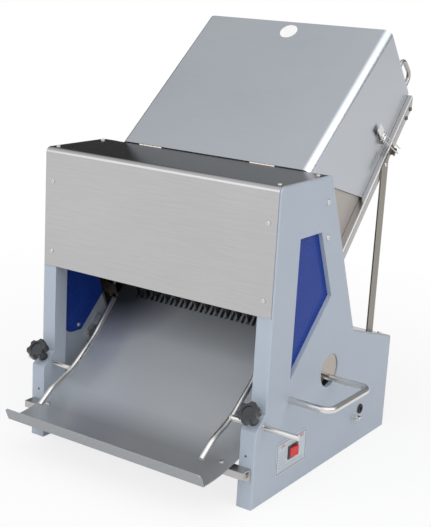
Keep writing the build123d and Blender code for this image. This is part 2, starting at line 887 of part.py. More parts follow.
def feed_pan():
    right = [(trough_half_width, 0.0), (trough_half_width, rail_height), (rail_half_width, rail_height),
             (rail_half_width, rail_bottom)]
    left = [(-x, h) for x, h in right[::-1]]
    outline = sheet_outline(left + right, -sheet)
    section = make_face(Polyline(*outline, close=True))
    for x in (-rail_half_width, rail_half_width):
        corner = section.vertices().sort_by_distance((x, rail_height, 0.0))[0]
        section = fillet(corner, rail_bend)
    pan = extrude(feed_plane(rail_end_distance) * section, amount=rail_end_distance - feed_at(pan_start))
    end_y, end_z = feed(rail_end_distance, rail_height)
    past = 2 * rail_lip
    pan -= block(-half_width, half_width, end_y, end_y + past, end_z - past, end_z + past)
    return pan - [bore(f) for f in both_sides(pan_fixings + strut_fixings + rail_fixings)]


def pan_spacer():
    ring = cross_bar(pan_fix_place, rail_half_width, inner_face, spacer_radius)
    return ring - [bore(f) for f in pan_fixings]


def strut():
    front, rear = strut_y - strut_width / 2, strut_y + strut_width / 2
    outline = [(front, strut_bottom), (rear, strut_bottom), over_feed(rear, strut_top_height),
               over_feed(front, strut_top_height)]
    bar = prism(outline, rail_half_width, strut_outer)
    return bar - [bore(f, strut_screw_length) for f in strut_fixings] - [bore(f) for f in strut_foot_fixings]


hood_front_foot = feed(hood_front_distance, hood_wall_height)
hood_front_corner = (hinge_y + hood_front_setback, frame_top - hood_front_drop)


def inner_plate():
    """Fixed side plate from the blades back to just inside the hood's front edge."""
    edge = shifted_edge(hood_front_foot, hood_front_corner, -plate_overlap)
    floor = (feed(0.0, seat_gap), feed(1.0, seat_gap))
    front = (blade(plate_start, 0.0), blade(plate_start, 1.0))
    top = ((0.0, plate_top), (1.0, plate_top))
    outline = [meet(*front, *floor), meet(*edge, *floor), meet(*edge, *top), meet(*front, *top)]
    return prism(outline, plate_half_width - plate_thickness, plate_half_width)


def sleeve(place):
    tube = cross_bar(place, plate_half_width, web_face, sleeve_radius)
    return tube - bore(Fixing((half_width, *place), (1, 0, 0)), side_screw_length, side_screw_radius)


def hood():
    """Lid and side walls in one sheet, open below, in front and at its upper end."""
    end = lid(lid_length, 0.0)
    outline = [lid(lid_start, 0.0), hood_front_corner, hood_front_foot,
               feed(hood_end_distance, hood_wall_height), end]
    outer = prism(outline, -hood_half_width, hood_half_width)
    outer = fillet(lid_edges(outer, 0.0), hood_bend)
    far = 2 * lid_length
    core = [lid(-far, -sheet), lid(-far, -far), lid(far, -far), lid(far, -sheet)]
    inner = prism(core, sheet - hood_half_width, hood_half_width - sheet)
    inner = fillet(lid_edges(inner, -sheet), hood_bend - sheet)
    return outer - inner - [hinge_notch(x) for x in hinge_places]


def hinge_notch(x):
    """Cut in the lid's front edge that leaves the hinge barrel free."""
    end = barrel_radius + 2 * seat_gap
    half = hinge_width / 2 + knuckle_gap
    corners = [lid(-end, -2 * sheet), lid(end, -2 * sheet), lid(end, sheet), lid(-end, sheet)]
    return prism(corners, x - half, x + half)


def lid_edges(body, height):
    """The two long upper edges of a prism that lies under the lid's face."""
    ends = [(x, *lid(lid_length / 2, height)) for x in (-hood_half_width, hood_half_width)]
    direction = Axis((0, 0, 0), (0, *lid_direction))
    return [body.edges().filter_by(direction).sort_by_distance(end)[0] for end in ends]


def knuckles(x, first):
    """Hinge barrel pieces, every second one from the given first piece."""
    length = hinge_width / hinge_knuckles
    start = x - hinge_width / 2
    pieces = []
    for i in range(first, hinge_knuckles, 2):
        pieces.append((start + i * length + knuckle_gap / 2, start + (i + 1) * length - knuckle_gap / 2))
    return pieces


def fixed_leaf(x):
    """Leaf under the front cover; the pin sits tight in its knuckles."""
    base = frame_top - leaf_thickness
    leaf = block(x - hinge_width / 2, x + hinge_width / 2, hinge_y - leaf_length,
                 hinge_y - barrel_radius - seat_gap, base, frame_top)
    for x0, x1 in knuckles(x, 0):
        leaf += block(x0, x1, hinge_y - leaf_length, hinge_y, base, frame_top)
        leaf += cross_bar((hinge_y, hinge_z), x0, x1, barrel_radius)
    return leaf - cross_bar((hinge_y, hinge_z), x - hinge_width, x + hinge_width, pin_radius)


def lid_block(x0, x1, start, end, low, high):
    """Block that lies along the lid."""
    return prism([lid(start, low), lid(end, low), lid(end, high), lid(start, high)], x0, x1)


def moving_leaf(x):
    """Leaf under the lid; its knuckles turn on the pin."""
    low, high = -sheet - leaf_thickness, -sheet
    leaf = lid_block(x - hinge_width / 2, x + hinge_width / 2, barrel_radius + seat_gap, leaf_length,
                     low, high)
    for x0, x1 in knuckles(x, 1):
        leaf += lid_block(x0, x1, 0.0, leaf_length, low, high)
        leaf += cross_bar((hinge_y, hinge_z), x0, x1, barrel_radius)
    pin_hole = pin_radius + running_clearance
    return leaf - cross_bar((hinge_y, hinge_z), x - hinge_width, x + hinge_width, pin_hole)


def hinge_pin(x):
    return cross_bar((hinge_y, hinge_z), x - hinge_width / 2, x + hinge_width / 2, pin_radius)


# Draw latch on the right side
def latch_base():
    wall = hood_half_width
    low, high = latch_distance - latch_half_width, latch_distance + latch_half_width
    base = feed_block(wall, wall + sheet, low, high, latch_base_bottom, latch_base_top)
    tip = wall + latch_pivot_out + lever_barrel_radius
    top = latch_pivot_height + lever_barrel_radius
    for a in (low, high - latch_ear):
        base += feed_block(wall, tip, a, a + latch_ear, latch_base_bottom, top)
    return base + latch_pin(latch_pin_radius, low, high)


def latch_pin(radius, low, high):
    x = hood_half_width + latch_pivot_out
    return rod((x, *feed(low, latch_pivot_height)), (x, *feed(high, latch_pivot_height)), radius)


def lever_half_width():
    return latch_half_width - latch_ear - seat_gap


def bail_pivot():
    """Bail's axis on the lever: distance out and height up."""
    return hood_half_width + latch_pivot_out, latch_pivot_height + bail_pivot_up


def latch_lever():
    half = lever_half_width()
    low, high = latch_distance - half, latch_distance + half
    x = hood_half_width + latch_pivot_out
    top = latch_pivot_height + lever_length
    lever = latch_pin(lever_barrel_radius, low, high)
    lever += feed_block(x - lever_thickness / 2, x + lever_thickness / 2, low, high, latch_pivot_height, top)
    pivot_x, pivot_h = bail_pivot()
    inner = bail_half_width - bail_radius - seat_gap
    lever += rod((pivot_x, *feed(latch_distance - inner, pivot_h)),
                 (pivot_x, *feed(latch_distance + inner, pivot_h)), bail_eye_radius)
    lever -= latch_pin(latch_pin_radius + running_clearance, low, high)
    slot = bail_radius + seat_gap
    for side in (-1, 1):
        a = latch_distance + side * bail_half_width
        lever -= feed_block(x - lever_barrel_radius, x + lever_barrel_radius, a - slot, a + slot,
                            latch_pivot_height - lever_barrel_radius, pivot_h + lever_slot_reach)
    return lever - bail_axle(bail_radius + running_clearance)


def bail_axle(radius):
    x, h = bail_pivot()
    low, high = latch_distance - bail_half_width, latch_distance + bail_half_width
    return rod((x, *feed(low, h)), (x, *feed(high, h)), radius)


def latch_bail():
    """Wire loop that hangs outwards, free of the keeper."""
    x, h = bail_pivot()
    low, high = latch_distance - bail_half_width, latch_distance + bail_half_width
    end_x = x + bail_length * sin(radians(bail_lean))
    end_h = h - bail_length * cos(radians(bail_lean))
    loop = bail_axle(bail_radius)
    for a in (low, high):
        loop += rod((x, *feed(a, h)), (end_x, *feed(a, end_h)), bail_radius)
        loop += Pos(x, *feed(a, h)) * Sphere(bail_radius)
        loop += Pos(end_x, *feed(a, end_h)) * Sphere(bail_radius)
    return loop + rod((end_x, *feed(low, end_h)), (end_x, *feed(high, end_h)), bail_radius)


def latch_keeper():
    wall = rail_half_width
    low, high = latch_distance - keeper_half_width, latch_distance + keeper_half_width
    top = rail_height - rail_bend
    keeper = feed_block(wall, wall + sheet, low, high, rail_bottom, top)
    keeper += feed_block(wall, wall + keeper_reach, low, high, rail_bottom, rail_bottom + sheet)
    return keeper + feed_block(wall + keeper_reach - sheet, wall + keeper_reach, low, high,
                               rail_bottom - keeper_hook, rail_bottom + sheet)


# Pusher
def pusher_plate():
    plate = feed_block(-pusher_half_width, pusher_half_width, pusher_distance, pusher_distance + pusher_sheet,
                       seat_gap, pusher_height)
    return plate + feed_block(-pusher_half_width, pusher_half_width, pusher_distance,
                              pusher_distance + pusher_foot, seat_gap, seat_gap + pusher_sheet)


def pusher_handle(x):
    start = pusher_distance + pusher_sheet
    corners = [(start, pusher_grip_high), (pusher_grip_distance, pusher_grip_high),
               (pusher_grip_distance, pusher_grip_low), (start, pusher_grip_low)]
    return bent_bar([(x, *feed(a, h)) for a, h in corners], pusher_bend, pusher_bar_radius)


# Carry handles
def carry_handle(front_y, roots):
    """Right-hand bent bar; roots are the X at which its front and rear legs end."""
    reach = handle_reach - handle_radius
    rear_y = front_y + handle_spread
    points = [(roots[0], front_y, handle_z), (reach, front_y, handle_z), (reach, rear_y, handle_z),
              (roots[1], rear_y, handle_z)]
    return bent_bar(points, handle_bend, handle_radius)


def handle_nut(place):
    nut = hexagon((web_face, *place), (-1, 0, 0), handle_nut_size, handle_nut_height)
    return nut - cross_bar(place, web_face - handle_nut_height, web_face, handle_radius)


# Switch, grommet and earth terminal
def switch_opening(x0, x1, gap):
    return block(x0, x1, switch_y - switch_body_width / 2 - gap, switch_y + switch_body_width / 2 + gap,
                 switch_z - switch_body_height / 2 - gap, switch_z + switch_body_height / 2 + gap)


def switch_plate():
    front = half_width + switch_plate_thickness
    plate = block(half_width, front, switch_plate_y - switch_plate_width / 2,
                  switch_plate_y + switch_plate_width / 2, switch_plate_z - switch_plate_height / 2,
                  switch_plate_z + switch_plate_height / 2)
    return plate - switch_opening(half_width, front, seat_gap)


rocker_x = half_width + switch_plate_thickness + bezel_thickness - rocker_face / 2


def rocker_cylinder(radius, height):
    return Solid.make_cylinder(radius, height, Plane(origin=(rocker_x, switch_y, switch_z - height / 2)))


def switch_body():
    front = half_width + switch_plate_thickness
    bezel = block(front, front + bezel_thickness, switch_y - bezel_width / 2, switch_y + bezel_width / 2,
                  switch_z - bezel_height / 2, switch_z + bezel_height / 2)
    body = bezel + switch_opening(front - switch_body_depth, front, 0.0)
    return body - rocker_cylinder(rocker_radius + seat_gap, rocker_height + 2 * seat_gap)


def switch_rocker():
    """Rocker drawn level, then tilted to the side that is off."""
    drum = rocker_cylinder(rocker_radius, rocker_height)
    keep = block(rocker_x - rocker_back, rocker_x + rocker_face, switch_y - rocker_radius,
                 switch_y + rocker_radius, switch_z - rocker_height, switch_z + rocker_height)
    return (drum & keep).rotate(Axis((rocker_x, switch_y, switch_z), (0, 0, 1)), -rocker_tilt)


def cable_grommet():
    """Rubber grommet that clasps the edge of its hole in the web."""
    place = (grommet_y, grommet_z)
    lip = cross_bar(place, half_width, half_width + grommet_lip, grommet_radius)
    lip = fillet(lip.edges().sort_by(Axis.X)[-1], grommet_edge)
    neck = cross_bar(place, web_face, half_width, grommet_neck_radius)
    back = cross_bar(place, web_face - grommet_back, web_face, grommet_radius)
    hole = cross_bar(place, web_face - grommet_back, half_width + grommet_lip, grommet_bore)
    return lip + neck + back - hole


def earth_terminal():
    """Stud through the web, a nut, and a wing nut that clamps the earth wire."""
    place = (earth_y, earth_z)
    stud = cross_bar(place, web_face, half_width + earth_stud_length, earth_stud_radius)
    nut = hexagon((half_width, *place), (1, 0, 0), earth_nut_size, earth_nut_height)
    start = half_width + 2 * earth_nut_height
    wing = cross_bar(place, start, start + earth_nut_height, earth_nut_size)
    wing += block(start, start + wing_height, earth_y - wing_span, earth_y + wing_span,
                  earth_z - wing_thickness / 2, earth_z + wing_thickness / 2)
    wing -= block(start + earth_nut_height, start + wing_height, earth_y - earth_nut_size,
                  earth_y + earth_nut_size, earth_z - wing_thickness, earth_z + wing_thickness)
    washer = cross_bar(place, half_width + earth_nut_height, start, earth_nut_size)
    return [stud, nut - stud, washer - stud, wing - stud]


# Blade frames
def blade_bar(offset, start):
    """Slotted bar across one blade frame, with an eye at each end for the guide rods."""
    half = bar_width / 2
    bar = blade_block(-rod_x, rod_x, offset - half, offset + half, start, start + bar_height)
    for x in (-rod_x, rod_x):
        bar += blade_rod(x, offset, start, start + bar_height, bar_eye_radius)
        bar -= blade_rod(x, offset, start, start + bar_height, rod_radius)
    return bar


def blade_rod(x, s, t0, t1, radius):
    return rod((x, *blade(s, t0)), (x, *blade(s, t1)), radius)


def blade_slots(offset, first, t0, t1):
    half = blade_thickness / 2 + blade_slot_gap
    return [blade_block(blade_x(i) - half, blade_x(i) + half, offset - bar_width, offset + bar_width, t0, t1)
            for i in range(first, blade_count, 2)]


def lug(x0, x1, offset):
    body = blade_block(x0, x1, offset - bar_width / 2, offset + bar_width / 2, lug_bottom, lower_bar_start)
    place = blade(offset, small_end_drop)
    return body - cross_bar(place, x0, x1, wrist_pin_radius + lug_bore_gap)


def blade_bars(offset, first, rod_place):
    """Lower bar with its two lugs, and upper bar."""
    lower = blade_bar(offset, lower_bar_start)
    lower -= blade_slots(offset, first, lower_seat, lower_bar_start + bar_height)
    outer = rod_place - rod_thickness / 2 - pivot_gap
    lower += lug(outer - lug_thickness, outer, offset)
    lower += lug(-outer, lug_thickness - outer, offset)
    upper = blade_bar(offset, upper_bar_start)
    upper -= blade_slots(offset, first, upper_bar_start, upper_seat)
    return [lower, upper]


def blades(offset, first):
    half = blade_thickness / 2
    front, rear = offset - blade_width / 2, offset + blade_width / 2
    return [blade_block(blade_x(i) - half, blade_x(i) + half, front, rear, lower_seat, upper_seat)
            for i in range(first, blade_count, 2)]


def guide_rods(offset):
    return [blade_rod(x, offset, rod_start, rod_end, rod_radius) for x in (-rod_x, rod_x)]


def guide_block(t0, t1):
    body = blade_block(web_face - guide_block_depth, web_face, guide_block_front, guide_block_rear, t0, t1)
    return body - [blade_rod(rod_x, s, t0, t1, bush_radius) for s in frame_offsets]


def lower_guide():
    """Plate with a slanted lower edge, its boss in the access hole and the block that holds two bushes."""
    edge_start = (access_y, access_z - guide_plate_edge_drop)
    edge = (edge_start, along(edge_start, heading(guide_plate_edge_slope), 1.0, 0.0))
    front = (blade(guide_plate_front, 0.0), blade(guide_plate_front, 1.0))
    floor = (blade(0.0, guide_plate_bottom), blade(guide_block_rear, guide_plate_bottom))
    outline = [meet(*front, *edge), meet(*edge, *floor), floor[1], blade(guide_block_rear, guide_plate_top),
               blade(guide_plate_front, guide_plate_top)]
    plate = prism(outline, web_face - guide_plate_thickness, web_face)
    plate -= blade_block(web_face - guide_block_depth, web_face, guide_block_front, guide_block_rear,
                         lower_block_bottom, lower_block_top)
    boss_face = half_width - guide_boss_setback
    boss = cross_bar((access_y, access_z), web_face, boss_face, access_radius - seat_gap)
    boss &= prism(outline, web_face, half_width)
    body = plate + boss + guide_block(lower_block_bottom, lower_block_top)
    panel_room = inset(panel_outline, [-seat_gap] * len(panel_outline))
    return body - prism(panel_room, web_face - panel_thickness - seat_gap, web_face)


def tongue():
    """Recessed tab behind the access hole that the right handle's rear leg is fixed to."""
    back = web_face - guide_plate_thickness
    front, rear = -tongue_half_width, tongue_half_width
    return blade_block(back - tongue_thickness, back, front, rear, tongue_bottom, 0.0)


def bush(t0, t1, s):
    hole = rod_radius + running_clearance
    return blade_rod(rod_x, s, t0, t1, bush_radius) - blade_rod(rod_x, s, t0, t1, hole)


def bushes():
    spans = ((lower_block_bottom, lower_block_top), (upper_block_bottom, upper_block_top))
    return [bush(t0, t1, s) for t0, t1 in spans for s in frame_offsets]


# Crank drive
crank_place = blade(blade_frame_offset, crank_drop)


def crankshaft():
    return cross_bar(crank_place, -crank_half_length, crank_half_length, crank_radius)


def eccentric(x, offset):
    x0, x1 = x - rod_thickness / 2, x + rod_thickness / 2
    disc = cross_bar(blade(offset, crank_drop), x0, x1, eccentric_radius)
    return disc - cross_bar(crank_place, x0, x1, crank_radius)


def con_rod(x, offset):
    """Connecting rod from an eccentric up to a blade frame's lug."""
    x0, x1 = x - rod_thickness / 2, x + rod_thickness / 2
    half = con_rod_width / 2
    body = blade_block(x0, x1, offset - half, offset + half, crank_drop, small_end_drop)
    body += cross_bar(blade(offset, crank_drop), x0, x1, big_end_radius)
    body += cross_bar(blade(offset, small_end_drop), x0, x1, small_end_radius)
    return body - cross_bar(blade(offset, crank_drop), x0, x1, eccentric_radius + running_clearance)


def crank_bearing():
    inner = web_face - bearing_length
    body = cross_bar(crank_place, inner, web_face, bearing_radius)
    body += cross_bar(crank_place, web_face - bearing_flange, web_face, bearing_flange_radius)
    return body - cross_bar(crank_place, inner, web_face, crank_radius + running_clearance)


def pulley(place, radius, bore_radius):
    x0, x1 = pulley_x - pulley_width / 2, pulley_x + pulley_width / 2
    wheel = cross_bar(place, x0, x1, radius)
    groove = cross_bar(place, pulley_x - groove_width / 2, pulley_x + groove_width / 2, radius)
    groove -= cross_bar(place, x0, x1, radius - groove_depth)
    return wheel - groove - cross_bar(place, x0, x1, bore_radius)


def belt_loop(inset_from_rim):
    """Flat loop round both pulleys at a depth below their rims."""
    wheels = ((crank_place, crank_pulley_radius), (motor_place, motor_pulley_radius))
    rings = [Pos(*place) * Circle(radius - inset_from_rim) for place, radius in wheels]
    return make_hull([edge for ring in rings for edge in ring.edges()])


def drive_belt():
    loop = belt_loop(belt_rim) - belt_loop(groove_depth - belt_gap)
    plane = Plane(origin=(pulley_x - belt_width / 2, 0, 0), x_dir=(0, 1, 0), z_dir=(1, 0, 0))
    return extrude(plane * loop, amount=belt_width)


def motor_body():
    body = cross_bar(motor_place, motor_left, motor_right, motor_radius)
    half = motor_foot_width / 2
    foot = block(motor_foot_left, motor_foot_right, motor_place[0] - half, motor_place[0] + half,
                 rim_width + base_plate_thickness, motor_z)
    nose = motor_right - motor_shaft_seat
    return body + foot - cross_bar(motor_place, nose, motor_right, motor_shaft_radius + running_clearance)


def fan_cover():
    left = motor_left - fan_cover_length
    cup = cross_bar(motor_place, left, motor_left, motor_radius)
    return cup - cross_bar(motor_place, left + fan_cover_wall, motor_left, motor_radius - fan_cover_wall)


def motor_shaft():
    end = pulley_x + pulley_width / 2 + motor_shaft_overhang
    return cross_bar(motor_place, motor_right - motor_shaft_seat, end, motor_shaft_radius)


def base_plate():
    half = web_face - base_plate_gap
    plate = block(-half, half, base_plate_front, base_plate_rear, rim_width, rim_width + base_plate_thickness)
    return plate - [bore(f, bolt_length, bolt_radius) for f in both_sides(base_fixings)]


# All nodes
nodes = {}


def add(name, *shapes):
    nodes[name] = [solid for shape in shapes for solid in shape.solids()]


def add_pair(name, *shapes):
    add(name, *shapes, *[mirrored(shape) for shape in shapes])


add("right_side_frame", right_frame())
add("left_side_frame", left_frame())
add("right_window_panel", window_panel())
add("left_window_panel", mirrored(window_panel()))
add("front_cover", front_cover())
add("rear_cover", rear_cover())
add("discharge_slide", discharge_slide())
add("slide_rest_bar", slide_rest_bar())
add("tray_bar", tray_bar())
add("right_guide", bread_guide(right_guide_x, right_cross_rod_end))
add("left_guide", bread_guide(left_guide_x, left_cross_rod_end))
add("right_knob", *knob())
add("left_knob", *[mirrored(piece) for piece in knob()])
add("feed_pan", feed_pan())
add_pair("struts", strut())
add_pair("spacers", pan_spacer(), *[sleeve(place) for place in sleeve_places])
add_pair("inner_feed_plates", inner_plate())
add("hood", hood())
add("hinge_fixed_leaves", *[fixed_leaf(x) for x in hinge_places])
add("hinge_moving_leaves", *[moving_leaf(x) for x in hinge_places])
add("hinge_pins", *[hinge_pin(x) for x in hinge_places])
add_pair("latch_bases", latch_base())
add("right_latch_lever", latch_lever())
add("left_latch_lever", mirrored(latch_lever()))
add("right_latch_bail", latch_bail())
add("left_latch_bail", mirrored(latch_bail()))
add_pair("latch_keepers", latch_keeper())
add("pusher", pusher_plate(), pusher_handle(pusher_handle_x), pusher_handle(-pusher_handle_x))

right_legs = handle_legs(right_handle_y)
left_legs = handle_legs(left_handle_y)
nut_root = web_face - handle_nut_height
add("right_handle", carry_handle(right_handle_y, (nut_root, web_face - guide_plate_thickness)))
add("left_handle", mirrored(carry_handle(left_handle_y, (nut_root, nut_root))))
add("handle_nuts", handle_nut(right_legs[0]), *[mirrored(handle_nut(place)) for place in left_legs])

add("switch_plate", switch_plate())
add("switch_body", switch_body())
add("switch_rocker", switch_rocker())
add("cable_grommet", cable_grommet())
add("earth_terminal", *earth_terminal())

for frame_name, offset, first, rod_place in (("front", front_frame_offset, 0, front_rod_x),
                                             ("rear", rear_frame_offset, 1, rear_rod_x)):
    add(frame_name + "_blade_bars", *blade_bars(offset, first, rod_place))
    add(frame_name + "_guide_rods", *guide_rods(offset))
    add(frame_name + "_blades", *blades(offset, first))
    add_pair(frame_name + "_con_rods", con_rod(rod_place, offset))

plate_back = web_face - guide_plate_thickness
leg_notch = cross_bar(right_legs[1], plate_back, half_width, handle_radius + running_clearance)
add("lower_guide_plates", lower_guide() + tongue() - leg_notch, mirrored(lower_guide()))
add_pair("upper_guide_blocks", guide_block(upper_block_bottom, upper_block_top))
add_pair("guide_bushes", *bushes())
add("crankshaft", crankshaft())
add_pair("eccentrics", eccentric(front_rod_x, front_frame_offset), eccentric(rear_rod_x, rear_frame_offset))
add_pair("crank_bearings", crank_bearing())
add("crank_pulley", pulley(crank_place, crank_pulley_radius, crank_radius))
add("motor_pulley", pulley(motor_place, motor_pulley_radius, motor_shaft_radius))
add("drive_belt", drive_belt())
add("motor_body", motor_body())
add("motor_fan_cover", fan_cover())
add("motor_shaft", motor_shaft())
add("base_plate", base_plate())

plain_fixings = (cover_fixings + slide_fixings + rear_fixings + pan_fixings + rail_fixings
                 + strut_foot_fixings)
add("small_screws", *[screw(f) for f in both_sides(plain_fixings)],
    *[screw(f, panel_screw_length) for f in both_sides(panel_fixings)],
    *[screw(f, strut_screw_length) for f in both_sides(strut_fixings)])
add("side_screws", *[screw(f, side_screw_length, side_screw_radius, side_head_radius)
                     for f in both_sides(side_fixings)])
add("hex_bolts", *[bolt(f) for f in both_sides(tray_fixings + base_fixings)])

whole = Compound([solid for solids in nodes.values() for solid in solids]).bounding_box()
origin_y = (whole.min.Y + whole.max.Y) / 2
centred = Location((0, -origin_y, 0))

os.makedirs("parts", exist_ok=True)
for name, solids in nodes.items():
    export_step(Compound([solid.moved(centred) for solid in solids]), f"parts/{name}.step")
print("nodes", len(nodes), "size", whole.size, "origin moved by", origin_y)
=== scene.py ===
import json
import math

import bmesh
import bpy
import numpy as np
from mathutils import Matrix, Vector


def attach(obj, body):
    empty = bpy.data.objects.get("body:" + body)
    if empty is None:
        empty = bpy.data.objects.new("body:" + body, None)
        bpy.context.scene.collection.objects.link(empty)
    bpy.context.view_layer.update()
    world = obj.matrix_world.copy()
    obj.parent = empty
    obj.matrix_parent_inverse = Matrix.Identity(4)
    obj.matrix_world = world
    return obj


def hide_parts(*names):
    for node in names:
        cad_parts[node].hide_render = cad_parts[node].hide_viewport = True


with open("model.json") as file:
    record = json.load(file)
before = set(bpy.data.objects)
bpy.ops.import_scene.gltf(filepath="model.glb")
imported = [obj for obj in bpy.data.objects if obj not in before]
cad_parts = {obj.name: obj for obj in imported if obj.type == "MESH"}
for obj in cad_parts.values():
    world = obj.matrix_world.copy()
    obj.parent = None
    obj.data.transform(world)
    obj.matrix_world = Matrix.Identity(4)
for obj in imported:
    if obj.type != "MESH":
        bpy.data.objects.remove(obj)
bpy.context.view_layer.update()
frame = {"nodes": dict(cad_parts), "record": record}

scene = bpy.context.scene
scene.view_settings.view_transform = "Standard"
mm = 0.001

# Picture and camera: angles in degrees, lengths in metres
picture_height = 527
camera_azimuth = 33.45
camera_elevation = 14.53
camera_roll = 3.22
camera_focal_pixels = 1136.41
camera_eye = (1.1649, -1.7828, 0.8952)
sensor_size = 36.0

# Places and sizes from the CAD model, in millimetres before its move along y
frame_move = -223.61278
frame_face = 255.0
leg_front = -28.0
cross_rod = (-5.0, 146.6)
cross_rod_radius = 5.0
guide_bar_direction = (0.0, 57.0, 43.0)
guide_bars = {"right_guide": (187.0, 1), "left_guide": (-177.0, -1)}
lid_foot = (165.0, 560.0)
lid_slope = 40.5
lid_rise = 0.5
plate_face = 256.0
plate_centre = (96.5, 68.0)
plate_size = (105.0, 62.0)

# Screws: lengths in millimetres, the rest as shares of the head's or the shank's size
dark_screw_height = 600.0
tip_radius = 0.6
tip_length = 0.4
crown_share = 0.45
crown_steps = (0.35, 0.65, 0.9)
recess_half_width = 0.11
recess_length = 0.55
recess_depth = 0.55
recess_floor = (0.8, 0.7)
recess_corner_steps = (0.0, 0.2, 0.45, 0.7)
rim_share = 0.97

# Blades, in millimetres, with the edge's share of their thickness and the angle of a sharp edge in degrees
blade_section_height = 2.0
tooth_pitch = 7.0
tooth_depth = 1.2
edge_bevel = 3.5
edge_share = 0.12
blade_sharp_angle = 20.0

# Set screws in the legs, in millimetres, with shares of their radius
set_screw_places = ((236.8, 96.5), (-236.8, 96.5))
set_screw_sides = 24
set_screw_radius = 2.1
set_screw_rim = 0.5
set_screw_height = 0.8
set_screw_top = 0.9
socket_mouth = 0.55
socket_floor = 0.5
socket_floor_height = 0.12

# Collars and weld beads of the guides, in millimetres
collar_sides = 32
collar_radius = 6.6
collar_thickness = 2.0
collar_clearance = 0.35
collar_edge = 0.6
collar_bore_edge = 0.4
bead_radius = 1.0
bead_sides = 8
bead_steps = 40
bead_flatness = 0.03

# Disc on the lid, flat over a share of its radius, and print on the switch plate, in millimetres
label_place = (-3.4, 342.5)
label_sides = 64
label_radius = 18.0
label_thickness = 0.25
label_edge = 0.125
label_flat = 0.9
mark_thickness = 0.2
border_inset = 2.5
border_width = 1.0
rule_width = 0.6
long_rules = ((52.0, 141.0), (43.5, 49.0))
short_rules = ((52.0, 77.0), (55.0, 60.5, 66.0, 71.5, 77.0))
word_size = 9.0
word_places = {"ON": (57.5, 86.5), "OFF": (121.5, 87.5)}

# Limits for points and ends that are the same, in metres, for small sines and for directions along an axis
same_point = 1e-6
same_end = 1e-5
smallest_sine = 1e-6
along_axis = 0.9


def make_camera():
    """Camera with the photo's angles, place and focal length."""
    az, el, roll = (math.radians(v) for v in (camera_azimuth, camera_elevation, camera_roll))
    back = Vector((math.sin(az) * math.cos(el), -math.cos(az) * math.cos(el), math.sin(el)))
    right = Vector((math.cos(az), math.sin(az), 0.0))
    up = back.cross(right)
    tilted_right = math.cos(roll) * right + math.sin(roll) * up
    tilted_up = -math.sin(roll) * right + math.cos(roll) * up
    data = bpy.data.cameras.new("camera")
    data.sensor_width = sensor_size
    data.lens = camera_focal_pixels * sensor_size / picture_height
    camera = bpy.data.objects.new("camera", data)
    axes = Matrix((tilted_right, tilted_up, back)).transposed().to_4x4()
    camera.matrix_world = Matrix.Translation(camera_eye) @ axes
    scene.collection.objects.link(camera)
    scene.camera = camera


# Noises of the materials: their middle part, their details, the grain's depth in metres and their stretch
noise_middle = (0.3, 0.7)
cloud_detail = 3.0
grain_detail = 4.0
grain_depth = 0.0005
evenly = (1.0, 1.0, 1.0)
along_x = (0.02, 1.0, 1.0)


# Shader nodes
def new_material(name):
    """Material with its node tree and its main shader."""
    material = bpy.data.materials.new(name)
    material.use_nodes = True
    tree = material.node_tree
    shader = tree.nodes["Principled BSDF"]
    return material, tree, shader


def noise(tree, scale, detail, stretch=evenly):
    """Noise in the object's own metres, drawn out along an axis by its stretch."""
    place = tree.nodes.new("ShaderNodeTexCoord")
    mapping = tree.nodes.new("ShaderNodeMapping")
    mapping.inputs["Scale"].default_value = stretch
    tree.links.new(place.outputs["Object"], mapping.inputs["Vector"])
    texture = tree.nodes.new("ShaderNodeTexNoise")
    texture.inputs["Scale"].default_value = scale
    texture.inputs["Detail"].default_value = detail
    tree.links.new(mapping.outputs["Vector"], texture.inputs["Vector"])
    return texture.outputs["Fac"]


def ramp(tree, value, dark, light):
    """Colour that goes from dark to light over the middle of a noise."""
    node = tree.nodes.new("ShaderNodeValToRGB")
    for element, position, colour in zip(node.color_ramp.elements, noise_middle, (dark, light)):
        element.position = position
        element.color = (*colour, 1.0)
    tree.links.new(value, node.inputs["Fac"])
    return node.outputs["Color"]


def spread(tree, value, low, high, start, end):
    """Number that goes from low to high as a value goes from start to end."""
    node = tree.nodes.new("ShaderNodeMapRange")
    node.inputs["From Min"].default_value = start
    node.inputs["From Max"].default_value = end
    node.inputs["To Min"].default_value = low
    node.inputs["To Max"].default_value = high
    tree.links.new(value, node.inputs["Value"])
    return node.outputs["Result"]


def mixed(tree, first, second, share):
    """Weighted mix of two noises."""
    node = tree.nodes.new("ShaderNodeMix")
    node.data_type = "FLOAT"
    node.inputs["Factor"].default_value = share
    tree.links.new(first, node.inputs["A"])
    tree.links.new(second, node.inputs["B"])
    return node.outputs["Result"]


def bump(tree, shader, value, strength, distance):
    """Fine relief on a shader, as high as a noise."""
    node = tree.nodes.new("ShaderNodeBump")
    node.inputs["Strength"].default_value = strength
    node.inputs["Distance"].default_value = distance
    tree.links.new(value, node.inputs["Height"])
    tree.links.new(node.outputs["Normal"], shader.inputs["Normal"])


def one_axis(tree, vector, axis):
    """One part of a vector."""
    parts = tree.nodes.new("ShaderNodeSeparateXYZ")
    tree.links.new(vector, parts.inputs["Vector"])
    return parts.outputs[axis]


def joined(tree, operation, *values):
    """Result of a calculation with one or two values."""
    node = tree.nodes.new("ShaderNodeMath")
    node.operation = operation
    for value, socket in zip(values, node.inputs):
        tree.links.new(value, socket)
    return node.outputs["Value"]


def painted_shading(tree, colour, value, share, start, end):
    """Colour darkened by painted shade: it rises from a share of itself to the whole as a value goes from
    start to end.
    """
    level = spread(tree, value, share, 1.0, start, end)
    scaled = tree.nodes.new("ShaderNodeVectorMath")
    scaled.operation = "SCALE"
    tree.links.new(colour, scaled.inputs[0])
    tree.links.new(level, scaled.inputs["Scale"])
    return scaled.outputs["Vector"]
